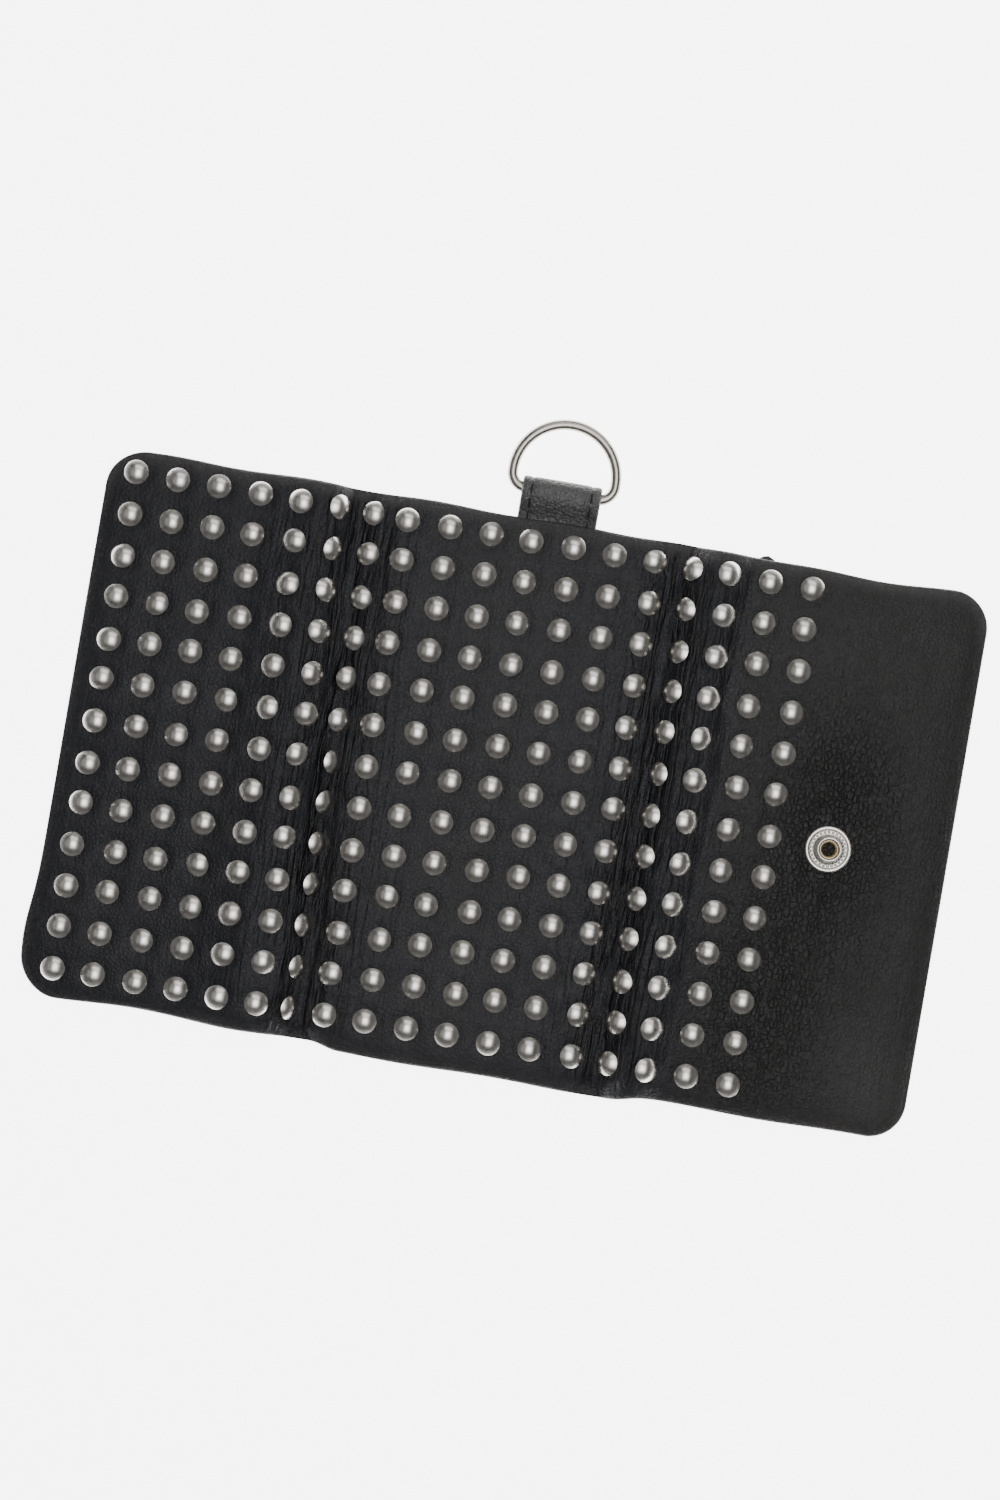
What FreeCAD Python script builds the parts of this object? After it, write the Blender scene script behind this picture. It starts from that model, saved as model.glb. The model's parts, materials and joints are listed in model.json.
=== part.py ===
import FreeCAD, Part
import os
import Sketcher

# A studded trifold wallet lying open on its inner faces, studs up.
# +X runs to the flap with the snap, +Y to the D-ring, +Z out of the studded face.
# The origin is the centre of the back panel on the surface that the wallet rests on.

os.makedirs("parts", exist_ok=True)
doc = FreeCAD.newDocument("StuddedWallet")
sizes = doc.addObject("Spreadsheet::Sheet", "Sizes")

DRIVING = {
    # overall
    "wallet_height": 115.0,
    "back_width": 60.0,
    "back_drop": 1.1,
    "left_flap_width": 45.1,
    "corner_radius": 8.0,
    "rest_gap": 0.05,
    # layers of one panel, from the inner face outwards
    "pocket_thick": 0.5,
    "pocket_gap": 0.05,
    "panel_thick": 0.6,
    "bill_gap": 0.4,
    "lining_thick": 0.3,
    "tail_space": 0.3,
    "leather_thick": 1.1,
    # folds
    "inner_fold_gap": 0.7,
    "outer_fold_gap": 0.4,
    "crease_gap": 0.05,
    "flap_edge_gap": 0.5,
    "lining_inset": 1.0,
    "pocket_inset": 1.6,
    "pocket_step": 13.0,
    "pocket_top_margin": 9.0,
    # studs
    "stud_pitch": 8.65,
    "stud_radius": 2.5,
    "stud_height": 1.5,
    "stud_skirt": 0.35,
    "shank_radius": 0.7,
    "shank_clearance": 0.05,
    "tail_radius": 1.2,
    "tail_thick": 0.25,
    "top_margin": 5.0,
    "bottom_margin": 5.5,
    "side_margin": 5.0,
    "back_stud_margin": 0.5,
    "left_spine_stud_margin": 0.35,
    "left_spine_pitch": 7.1,
    "left_flap_stud_margin": 1.85,
    "right_spine_stud_margin": 1.05,
    "right_flap_stud_margin": 0.65,
    # D-ring and its tab
    "tab_width": 16.5,
    "tab_thick": 1.0,
    "bar_clearance": 0.2,
    "bar_reach": 5.7,
    "ring_wire_radius": 1.1,
    "ring_half_width": 10.75,
    "ring_corner": 3.2,
    "ring_side": 0.45,
    "tail_clearance": 0.3,
    "stitch_length": 1.5,
    "stitch_width": 0.4,
    "stitch_proud": 0.15,
    "stitch_edge": 2.0,
    # snap
    "snap_reach": 25.05,
    "snap_flange_radius": 4.9,
    "snap_flange_thick": 0.55,
    "snap_clearance": 3.0,
    "post_radius": 2.5,
    "post_bore": 2.0,
    "post_engagement": 1.0,
    "eyelet_clearance": 0.05,
    "eyelet_wall": 0.35,
    "eyelet_flange_radius": 4.5,
    "eyelet_flange_thick": 0.3,
    "eyelet_drop": 0.8,
    "mouth_clearance": 0.35,
    "spring_radius": 0.12,
    "socket_radius": 4.2,
    "socket_rim": 1.0,
    "socket_rim_thick": 0.35,
    "socket_roof": 0.35,
    "socket_clearance": 0.1,
    "washer_thick": 0.25,
}

for line, (alias, value) in enumerate(DRIVING.items(), start=1):
    sizes.set(f"A{line}", alias)
    sizes.set(f"B{line}", str(value))
    sizes.setAlias(f"B{line}", alias)
doc.recompute()


def size(alias):
    return f"Sizes.{alias}"


# Heights of the layers over the surface that the wallet rests on.
FRONT_POCKET = size("pocket_thick")
REAR_POCKET = f"({FRONT_POCKET} + {size('pocket_gap')} + {size('pocket_thick')})"
PANEL_UNDER = f"({REAR_POCKET} + {size('pocket_gap')})"
PANEL_TOP = f"({PANEL_UNDER} + {size('panel_thick')})"
LINING_UNDER = f"({PANEL_TOP} + {size('bill_gap')})"
LINING_TOP = f"({LINING_UNDER} + {size('lining_thick')})"
LEATHER_UNDER = f"({LINING_TOP} + {size('tail_space')})"
TOP = f"({LEATHER_UNDER} + {size('leather_thick')})"

# The right flap folds in first and the left flap closes over it and its studs.
SPINE_DEPTH = f"({TOP} - {LINING_UNDER})"
RIGHT_SPINE = f"(2 * {TOP} + {size('inner_fold_gap')})"
LEFT_SPINE = f"({RIGHT_SPINE} + {TOP} + {size('stud_height')} + {size('outer_fold_gap')})"
RIGHT_FLAP = f"({size('back_width')} - {SPINE_DEPTH} - {size('flap_edge_gap')})"

# Places of the four crease lines and the two free edges along X.
BACK_HALF = f"({size('back_width')} / 2)"
LEFT_CREASE = f"({BACK_HALF} + {LEFT_SPINE})"
LEFT_EDGE = f"({LEFT_CREASE} + {size('left_flap_width')})"
RIGHT_CREASE = f"({BACK_HALF} + {RIGHT_SPINE})"
RIGHT_EDGE = f"({RIGHT_CREASE} + {RIGHT_FLAP})"

# Edges along Y.
TOP_EDGE = f"({size('wallet_height')} / 2)"
FLAP_BOTTOM = f"(-{TOP_EDGE})"
BACK_BOTTOM = f"(-{TOP_EDGE} - {size('back_drop')})"

# Places of the snap on the right flap and of its socket on the left flap.
SNAP_X = f"({RIGHT_EDGE} - {size('snap_reach')})"
SOCKET_X = f"(-{LEFT_CREASE} - {size('back_width')} + {SNAP_X} - {RIGHT_CREASE})"
MOUTH = f"({size('post_radius')} + {size('mouth_clearance')})"


def number(expression):
    """The value that an expression has now, as a plain number."""
    result = sizes.evalExpression(expression)
    return float(getattr(result, "Value", result))


def new_body(label):
    body = doc.addObject("PartDesign::Body", label)
    body.Label = label
    return body


def origin_feature(body, role):
    return next(item for item in body.Origin.OriginFeatures if item.Role == role)


def new_sketch(body, name, plane, places):
    """A sketch on an origin plane, moved by expressions such as {"z": "..."}."""
    sketch = body.newObject("Sketcher::SketchObject", f"{body.Name}_{name}")
    sketch.AttachmentSupport = [(origin_feature(body, plane), "")]
    sketch.MapMode = "FlatFace"
    for letter, expression in places.items():
        sketch.setExpression(f"AttachmentOffset.Base.{letter}", expression)
    return sketch


def pin_point(sketch, curve, end, corner):
    """Holds a curve's end at the place that two expressions give."""
    for direction, expression in zip(("DistanceX", "DistanceY"), corner):
        place = Sketcher.Constraint(direction, -1, 1, curve, end, number(expression))
        index = sketch.addConstraint(place)
        sketch.setExpression(f"Constraints[{index}]", expression)


def hold_radius(sketch, curve, radius):
    index = sketch.addConstraint(Sketcher.Constraint("Radius", curve, number(radius)))
    sketch.setExpression(f"Constraints[{index}]", radius)


def draw_outline(sketch, corners):
    """A closed outline of straight lines through corners given as expressions."""
    points = [FreeCAD.Vector(number(x), number(y), 0) for x, y in corners]
    count = len(points)
    for i in range(count):
        sketch.addGeometry(Part.LineSegment(points[i], points[(i + 1) % count]), False)
    for i in range(count):
        sketch.addConstraint(Sketcher.Constraint("Coincident", i, 2, (i + 1) % count, 1))
        pin_point(sketch, i, 1, corners[i])


def draw_circle(sketch, x, y, radius):
    middle = FreeCAD.Vector(number(x), number(y), 0)
    circle = Part.Circle(middle, FreeCAD.Vector(0, 0, 1), number(radius))
    curve = sketch.addGeometry(circle, False)
    pin_point(sketch, curve, 3, (x, y))
    hold_radius(sketch, curve, radius)


def feature(body, kind, name, profile, **settings):
    made = body.newObject(f"PartDesign::{kind}", f"{body.Name}_{name}")
    made.Profile = profile
    for key, value in settings.items():
        if isinstance(value, str) and value.startswith("="):
            made.setExpression(key, value[1:])
        else:
            setattr(made, key, value)
    body.Tip = made
    doc.recompute()
    return made


def cut_through(body, name, x, y, radius):
    """A round hole upwards through a body, which must take material away."""
    before = body.Shape.Volume
    sketch = new_sketch(body, name, "XY_Plane", {})
    draw_circle(sketch, x, y, radius)
    hole = feature(body, "Pocket", f"{name}_hole", sketch, Type="ThroughAll", Reversed=True)
    if body.Shape.Volume >= before:
        raise RuntimeError(f"{body.Label}: {name} cuts nothing")
    return hole


def repeat(body, original, columns, pitch, leftwards):
    """Repeats a feature in stud columns along X and stud rows down along Y."""
    grid = body.newObject("PartDesign::MultiTransform", f"{body.Name}_grid")
    grid.Originals = [original]
    steps = []
    for role, count, distance, reverse in (
        ("X_Axis", columns, pitch, leftwards),
        ("Y_Axis", ROWS, size("stud_pitch"), True),
    ):
        run = doc.addObject("PartDesign::LinearPattern", f"{body.Name}_{role}_run")
        body.addObject(run)
        run.Direction = (origin_feature(body, role), [""])
        run.Reversed = reverse
        run.setExpression("Occurrences", count)
        run.setExpression("Length", f"({count} - 1) * {distance}")
        steps.append(run)
    grid.Transformations = steps
    body.Tip = grid
    doc.recompute()


# Stud rows and columns, as many as each panel has room for.
ROWS = (
    f"(floor(({size('wallet_height')} - {size('top_margin')} - {size('bottom_margin')})"
    f" / {size('stud_pitch')}) + 1)"
)
BACK_COLUMNS = (
    f"(floor(({size('back_width')} - 2 * ({size('stud_radius')} + {size('back_stud_margin')}))"
    f" / {size('stud_pitch')}) + 1)"
)
LEFT_COLUMNS = (
    f"(floor(({size('left_flap_width')} - {size('stud_radius')}"
    f" - {size('left_flap_stud_margin')} - {size('side_margin')})"
    f" / {size('stud_pitch')}) + 1)"
)
RIGHT_COLUMNS = (
    f"(floor(({SNAP_X} - {size('snap_flange_radius')} - {size('snap_clearance')}"
    f" - {RIGHT_CREASE} - 2 * {size('stud_radius')} - {size('right_flap_stud_margin')})"
    f" / {size('stud_pitch')}) + 1)"
)
FIRST_ROW = f"({TOP_EDGE} - {size('top_margin')})"


def past_crease(crease, margin):
    """Where the column of studs next to a crease stands, a margin clear of it."""
    return f"({crease} + {size('stud_radius')} + {size(margin)})"


# For each panel: near crease, far side, whether that is free, and its studs:
# distance of the first column from X = 0, number of columns and their pitch.
PANELS = {
    "left_spine": {
        "side": -1, "near": BACK_HALF, "far": LEFT_CREASE, "free": False,
        "first": past_crease(BACK_HALF, "left_spine_stud_margin"),
        "columns": "2", "pitch": size("left_spine_pitch"),
    },
    "left_flap": {
        "side": -1, "near": LEFT_CREASE, "far": LEFT_EDGE, "free": True,
        "first": past_crease(LEFT_CREASE, "left_flap_stud_margin"),
        "columns": LEFT_COLUMNS, "pitch": size("stud_pitch"),
    },
    "back": {
        "side": 1, "near": f"(-{BACK_HALF})", "far": BACK_HALF, "free": False,
        "first": f"(-({BACK_COLUMNS} - 1) * {size('stud_pitch')} / 2)",
        "columns": BACK_COLUMNS, "pitch": size("stud_pitch"),
    },
    "right_spine": {
        "side": 1, "near": BACK_HALF, "far": RIGHT_CREASE, "free": False,
        "first": past_crease(BACK_HALF, "right_spine_stud_margin"),
        "columns": "1", "pitch": size("stud_pitch"),
    },
    "right_flap": {
        "side": 1, "near": RIGHT_CREASE, "far": RIGHT_EDGE, "free": True,
        "first": past_crease(RIGHT_CREASE, "right_flap_stud_margin"),
        "columns": RIGHT_COLUMNS, "pitch": size("stud_pitch"),
    },
}


def along_x(panel, distance):
    return distance if PANELS[panel]["side"] > 0 else f"(-{distance})"


def stud_start(panel):
    return along_x(panel, PANELS[panel]["first"])


def panel_bottom(panel):
    return BACK_BOTTOM if panel == "back" else FLAP_BOTTOM


def layer(label, panel, under, top, inset="0", high=TOP_EDGE, low=None):
    """One sheet of a panel, mitred towards its creases so that the panels can fold."""
    place = PANELS[panel]

    def mitred(level):
        return f"({TOP} - {level} + {size('crease_gap')} + {inset})"

    def far_edge(level):
        if place["free"]:
            return f"({place['far']} - {inset})"
        return f"({place['far']} - {mitred(level)})"

    corners = [
        (along_x(panel, f"({place['near']} + {mitred(under)})"), under),
        (along_x(panel, far_edge(under)), under),
        (along_x(panel, far_edge(top)), top),
        (along_x(panel, f"({place['near']} + {mitred(top)})"), top),
    ]
    low = low or panel_bottom(panel)
    body = new_body(label)
    sketch = new_sketch(body, "section", "XZ_Plane", {"z": f"-({high} - {inset})"})
    draw_outline(sketch, corners)
    length = f"({high} - {low} - 2 * {inset})"
    sheet = feature(body, "Pad", "sheet", sketch, Length=f"={length}")
    if place["free"]:
        round_free_corners(body, sheet, inset)
    return body


def round_free_corners(body, sheet, inset):
    """Rounds the two upright edges farthest from the back panel."""
    edges = sheet.Shape.Edges
    far = max(abs(vertex.X) for vertex in sheet.Shape.Vertexes)
    upright = [
        f"Edge{number_of + 1}" for number_of, edge in enumerate(edges)
        if all(abs(abs(vertex.X) - far) < 0.001 for vertex in edge.Vertexes)
        and abs(edge.Vertexes[0].Y - edge.Vertexes[1].Y) < 0.001
    ]
    fillet = body.newObject("PartDesign::Fillet", f"{body.Name}_corners")
    fillet.Base = (sheet, upright)
    fillet.setExpression("Radius", f"{size('corner_radius')} - {inset}")
    body.Tip = fillet
    doc.recompute()


def outer_leather(panel):
    """The outer leather of a panel, punched once for each stud."""
    body = layer(f"{panel}_leather", panel, LEATHER_UNDER, TOP)
    hole = cut_through(
        body, "punch", stud_start(panel), FIRST_ROW,
        f"({size('shank_radius')} + {size('shank_clearance')})",
    )
    repeat(body, hole, PANELS[panel]["columns"], PANELS[panel]["pitch"],
           PANELS[panel]["side"] < 0)
    return body


def studs(panel):
    """Domed studs in rows, each with a shank through the leather and a spread tail."""
    body = new_body(f"{panel}_studs")
    sketch = new_sketch(
        body, "section", "XZ_Plane", {"x": stud_start(panel), "z": f"-{FIRST_ROW}"}
    )
    tail_under = f"({LEATHER_UNDER} - {size('tail_thick')})"
    shoulder = f"({TOP} + {size('stud_skirt')})"
    corners = [
        ("0", tail_under),
        (size("tail_radius"), tail_under),
        (size("tail_radius"), LEATHER_UNDER),
        (size("shank_radius"), LEATHER_UNDER),
        (size("shank_radius"), TOP),
        (size("stud_radius"), TOP),
        (size("stud_radius"), shoulder),
        ("0", f"({TOP} + {size('stud_height')})"),
    ]
    draw_outline_with_dome(sketch, corners)
    turned = feature(
        body, "Revolution", "dome", sketch, ReferenceAxis=(sketch, ["V_Axis"]), Angle=360
    )
    repeat(body, turned, PANELS[panel]["columns"], PANELS[panel]["pitch"],
           PANELS[panel]["side"] < 0)
    return body


def draw_outline_with_dome(sketch, corners):
    """A closed outline whose stretch before the last corner is an arc round the axis."""
    points = [FreeCAD.Vector(number(x), number(y), 0) for x, y in corners]
    shoulder, crown = points[-2], points[-1]
    rise = crown.y - shoulder.y
    radius = (shoulder.x ** 2 + rise ** 2) / (2 * rise)
    centre = FreeCAD.Vector(0, crown.y - radius, 0)
    halfway = (shoulder + crown).multiply(0.5) - centre
    middle = centre + halfway.normalize().multiply(radius)
    count = len(points)
    for i in range(count - 2):
        sketch.addGeometry(Part.LineSegment(points[i], points[i + 1]), False)
    sketch.addGeometry(Part.Arc(shoulder, middle, crown), False)
    sketch.addGeometry(Part.LineSegment(crown, points[0]), False)
    arc, axis_line = count - 2, count - 1
    for i in range(count - 3):
        sketch.addConstraint(Sketcher.Constraint("Coincident", i, 2, i + 1, 1))
    arc_ends = arc_end_numbers(sketch, arc, shoulder)
    sketch.addConstraint(Sketcher.Constraint("Coincident", arc - 1, 2, arc, arc_ends[0]))
    sketch.addConstraint(Sketcher.Constraint("Coincident", arc, arc_ends[1], axis_line, 1))
    sketch.addConstraint(Sketcher.Constraint("Coincident", axis_line, 2, 0, 1))
    sketch.addConstraint(Sketcher.Constraint("PointOnObject", arc, 3, -2))
    for i in range(count - 2):
        pin_point(sketch, i, 1, corners[i])
    pin_point(sketch, arc - 1, 2, corners[-2])
    pin_point(sketch, axis_line, 1, corners[-1])


def arc_end_numbers(sketch, arc, start):
    """The numbers of an arc's ends, the one at the start point first."""
    curve = sketch.Geometry[arc]
    if (curve.StartPoint - start).Length < (curve.EndPoint - start).Length:
        return 1, 2
    return 2, 1


def turned_piece(label, x, rings):
    """A round piece on a vertical axis at x, from its half section as expressions."""
    body = new_body(label)
    sketch = new_sketch(body, "section", "XZ_Plane", {"x": x})
    draw_outline(sketch, rings)
    feature(body, "Revolution", "turning", sketch,
            ReferenceAxis=(sketch, ["V_Axis"]), Angle=360)
    return body


# Outer leather, lining and studs of all five panels.
for panel_name in PANELS:
    outer_leather(panel_name)
    studs(panel_name)
    layer(f"{panel_name}_lining", panel_name, LINING_UNDER, LINING_TOP, size("lining_inset"))

# Inner panels, which close the bill compartment and carry the pockets.
for panel_name in ("back", "left_flap", "right_flap"):
    layer(f"{panel_name}_inner_panel", panel_name, PANEL_UNDER, PANEL_TOP,
          size("lining_inset"))

# Two stepped card pockets on the back and on the right flap.
for panel_name in ("back", "right_flap"):
    rear_top = f"({TOP_EDGE} - {size('pocket_top_margin')})"
    front_top = f"({rear_top} - {size('pocket_step')})"
    layer(f"{panel_name}_rear_card_pocket", panel_name,
          f"({FRONT_POCKET} + {size('pocket_gap')})", REAR_POCKET,
          size("pocket_inset"), high=rear_top)
    layer(f"{panel_name}_front_card_pocket", panel_name,
          "0", FRONT_POCKET, size("pocket_inset"), high=front_top)

# Two slip pockets on the left flap leave a bare band for the snap's socket.
BAND_HALF = f"({size('socket_radius')} + {size('socket_rim')} + {size('pocket_inset')})"
layer("left_flap_upper_pocket", "left_flap", "0", REAR_POCKET, size("pocket_inset"),
      low=f"({BAND_HALF} - {size('pocket_inset')})")
layer("left_flap_lower_pocket", "left_flap", "0", REAR_POCKET, size("pocket_inset"),
      high=f"(-{BAND_HALF} + {size('pocket_inset')})")


# The D-ring, its leather tab and the tab's stitches.
TAB_X = f"({size('stud_pitch')} / 2)"
BAR_Y = f"({TOP_EDGE} + {size('bar_reach')})"
LOOP_RADIUS = f"({size('ring_wire_radius')} + {size('bar_clearance')} + {size('tab_thick')})"
BAR_Z = f"({LOOP_RADIUS} + {size('rest_gap')})"
TAIL_DEPTH = f"({size('top_margin')} - {size('tail_radius')} - {size('tail_clearance')})"


def tab_notch():
    """Room in the back's lining for the tab's tail."""
    body = doc.getObject("back_lining")
    before = body.Shape.Volume
    half = f"({size('tab_width')} / 2 + {size('tail_clearance')})"
    floor = f"({TOP_EDGE} - {TAIL_DEPTH} - {size('tail_clearance')})"
    sketch = new_sketch(body, "notch", "XY_Plane", {})
    draw_outline(sketch, [
        (f"({TAB_X} - {half})", floor),
        (f"({TAB_X} + {half})", floor),
        (f"({TAB_X} + {half})", TOP_EDGE),
        (f"({TAB_X} - {half})", TOP_EDGE),
    ])
    feature(body, "Pocket", "tab_notch", sketch, Type="ThroughAll", Reversed=True)
    if body.Shape.Volume >= before:
        raise RuntimeError("the notch for the tab cuts nothing")


def ring_tab():
    """A strap folded round the D-ring's bar, its tail held under the outer leather."""
    body = new_body("ring_tab")
    tail_end = f"({TOP_EDGE} - {TAIL_DEPTH})"
    tail_under = f"({PANEL_TOP} + {size('pocket_gap')})"
    tail_top = f"({LEATHER_UNDER} - {size('pocket_gap')})"
    throat = f"({TOP_EDGE} + {size('tail_clearance')})"
    upper = f"({BAR_Z} + {LOOP_RADIUS})"
    lower = f"({BAR_Z} - {LOOP_RADIUS})"
    tail = new_sketch(body, "tail", "YZ_Plane", {"z": f"({TAB_X} - {size('tab_width')} / 2)"})
    draw_outline(tail, [
        (tail_end, tail_under),
        (throat, tail_under),
        (BAR_Y, lower),
        (BAR_Y, upper),
        (throat, tail_top),
        (tail_end, tail_top),
    ])
    feature(body, "Pad", "plies", tail, Length=f"={size('tab_width')}")
    bend = new_sketch(body, "bend", "YZ_Plane", {"z": f"({TAB_X} - {size('tab_width')} / 2)"})
    draw_circle(bend, BAR_Y, BAR_Z, LOOP_RADIUS)
    feature(body, "Pad", "loop", bend, Length=f"={size('tab_width')}")
    before = body.Shape.Volume
    eye = new_sketch(body, "eye", "YZ_Plane", {"z": f"({TAB_X} - {size('tab_width')} / 2)"})
    draw_circle(eye, BAR_Y, BAR_Z, f"({size('ring_wire_radius')} + {size('bar_clearance')})")
    feature(body, "Pocket", "bar_hole", eye, Type="ThroughAll", Reversed=True)
    if body.Shape.Volume >= before:
        raise RuntimeError("the hole for the ring's bar cuts nothing")


def ring_tab_stitches():
    """Two rows of stitches across the tab's upper face, over the bar."""
    body = new_body("ring_tab_stitches")
    top = f"({BAR_Z} + {LOOP_RADIUS})"
    half = f"({size('stitch_length')} / 2)"
    half_width = f"({size('stitch_width')} / 2)"
    for name, side in (("left", "-"), ("right", "+")):
        middle = f"({TAB_X} {side} ({size('tab_width')} / 2 - {size('stitch_edge')}))"
        sketch = new_sketch(body, name, "XY_Plane", {"z": top})
        draw_outline(sketch, [
            (f"({middle} - {half_width})", f"({BAR_Y} - {half})"),
            (f"({middle} + {half_width})", f"({BAR_Y} - {half})"),
            (f"({middle} + {half_width})", f"({BAR_Y} + {half})"),
            (f"({middle} - {half_width})", f"({BAR_Y} + {half})"),
        ])
        feature(body, "Pad", f"{name}_stitch", sketch, Length=f"={size('stitch_proud')}")


def d_ring():
    """A wire ring with a straight bar, rounded corners and a half-round bow."""
    body = new_body("d_ring")
    straight = f"({size('ring_half_width')} - {size('ring_corner')})"
    shoulder = f"({size('ring_corner')} + {size('ring_side')})"
    path = new_sketch(body, "path", "XY_Plane", {"x": TAB_X, "y": BAR_Y, "z": BAR_Z})
    half_bar = number(straight)
    corner = number(size("ring_corner"))
    reach = number(size("ring_half_width"))
    side_top = number(shoulder)
    slant = corner * 0.5 ** 0.5
    point = FreeCAD.Vector
    path.addGeometry([
        Part.LineSegment(point(0, 0, 0), point(half_bar, 0, 0)),
        Part.Arc(point(half_bar, 0, 0),
                 point(half_bar + slant, corner - slant, 0),
                 point(reach, corner, 0)),
        Part.LineSegment(point(reach, corner, 0), point(reach, side_top, 0)),
        Part.Arc(point(reach, side_top, 0),
                 point(0, side_top + reach, 0),
                 point(-reach, side_top, 0)),
        Part.LineSegment(point(-reach, side_top, 0), point(-reach, corner, 0)),
        Part.Arc(point(-reach, corner, 0),
                 point(-half_bar - slant, corner - slant, 0),
                 point(-half_bar, 0, 0)),
        Part.LineSegment(point(-half_bar, 0, 0), point(0, 0, 0)),
    ], False)
    count = 7
    for i in range(count):
        following = (i + 1) % count
        path.addConstraint(Sketcher.Constraint("Coincident", i, 2, following, 1))
    pin_point(path, 0, 1, ("0", "0"))
    pin_point(path, 0, 2, (straight, "0"))
    hold_radius(path, 1, size("ring_corner"))
    pin_point(path, 2, 1, (size("ring_half_width"), size("ring_corner")))
    pin_point(path, 2, 2, (size("ring_half_width"), shoulder))
    level = path.addConstraint(Sketcher.Constraint("DistanceY", -1, 1, 3, 3, side_top))
    path.setExpression(f"Constraints[{level}]", shoulder)
    pin_point(path, 4, 1, (f"-{size('ring_half_width')}", shoulder))
    pin_point(path, 4, 2, (f"-{size('ring_half_width')}", size("ring_corner")))
    hold_radius(path, 5, size("ring_corner"))
    pin_point(path, 6, 1, (f"-{straight}", "0"))
    wire = new_sketch(body, "wire", "YZ_Plane", {"z": TAB_X})
    draw_circle(wire, BAR_Y, BAR_Z, size("ring_wire_radius"))
    doc.recompute()
    feature(body, "AdditivePipe", "bent_wire", wire, Spine=(path, []))


# The snap: a stud and its eyelet on the right flap, a socket in the left flap.
POST_TOP = (
    f"({TOP} + {size('stud_height')} + {size('outer_fold_gap')}"
    f" + {size('post_engagement')})"
)
EYELET_RADIUS = f"({size('post_bore')} - {size('eyelet_clearance')})"


def snap_stud():
    """A flanged hollow post that stands on the right flap."""
    flange_top = f"({TOP} + {size('snap_flange_thick')})"
    turned_piece("snap_stud", SNAP_X, [
        (size("post_bore"), TOP),
        (size("snap_flange_radius"), TOP),
        (size("snap_flange_radius"), f"({TOP} + {size('snap_flange_thick')} / 2)"),
        (f"({size('snap_flange_radius')} - {size('snap_flange_thick')} / 2)", flange_top),
        (size("post_radius"), flange_top),
        (size("post_radius"), POST_TOP),
        (size("post_bore"), POST_TOP),
    ])


def snap_eyelet():
    """The barrel that rivets the snap's stud through leather and lining."""
    flange_under = f"({LINING_UNDER} - {size('eyelet_flange_thick')})"
    barrel_top = f"({POST_TOP} - {size('eyelet_drop')})"
    bore = f"({EYELET_RADIUS} - {size('eyelet_wall')})"
    turned_piece("snap_eyelet", SNAP_X, [
        (bore, flange_under),
        (size("eyelet_flange_radius"), flange_under),
        (size("eyelet_flange_radius"), LINING_UNDER),
        (EYELET_RADIUS, LINING_UNDER),
        (EYELET_RADIUS, barrel_top),
        (bore, barrel_top),
    ])
    for name in ("right_flap_leather", "right_flap_lining"):
        cut_through(doc.getObject(name), "eyelet", SNAP_X, "0", size("post_bore"))


def snap_socket():
    """The cup that takes the post, held in the left flap's inner panel."""
    rim = f"({size('socket_radius')} + {size('socket_rim')})"
    rim_under = f"({PANEL_UNDER} - {size('socket_rim_thick')})"
    roof = f"({PANEL_TOP} + {size('washer_thick')})"
    turned_piece("snap_socket", SOCKET_X, [
        (MOUTH, size("rest_gap")),
        (size("socket_radius"), size("rest_gap")),
        (size("socket_radius"), rim_under),
        (rim, rim_under),
        (rim, PANEL_UNDER),
        (size("socket_radius"), PANEL_UNDER),
        (size("socket_radius"), roof),
        ("0", roof),
        ("0", f"({roof} - {size('socket_roof')})"),
        (MOUTH, f"({roof} - {size('socket_roof')})"),
    ])
    hole = f"({size('socket_radius')} + {size('socket_clearance')})"
    cut_through(doc.getObject("left_flap_inner_panel"), "socket", SOCKET_X, "0", hole)
    turned_piece("snap_socket_washer", SOCKET_X, [
        (hole, PANEL_TOP),
        (rim, PANEL_TOP),
        (rim, roof),
        (hole, roof),
    ])


def snap_spring():
    """The round spring inside the socket's mouth that grips the post."""
    body = new_body("snap_spring")
    sketch = new_sketch(body, "section", "XZ_Plane", {"x": SOCKET_X})
    draw_circle(sketch, f"({MOUTH} - {size('spring_radius')})", REAR_POCKET,
                size("spring_radius"))
    feature(body, "Revolution", "coil", sketch,
            ReferenceAxis=(sketch, ["V_Axis"]), Angle=360)


tab_notch()
ring_tab()
ring_tab_stitches()
d_ring()
snap_stud()
snap_eyelet()
snap_socket()
snap_spring()

doc.recompute()
for item in doc.Objects:
    if "Invalid" in item.State or "Error" in item.State:
        raise RuntimeError(f"{item.Label} failed: {item.State}")

for piece in doc.findObjects("PartDesign::Body"):
    if piece.Shape.isNull() or not piece.Shape.isValid():
        raise RuntimeError(f"{piece.Label} has no valid solid")
    piece.Shape.exportStep(f"parts/{piece.Label}.step")
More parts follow.
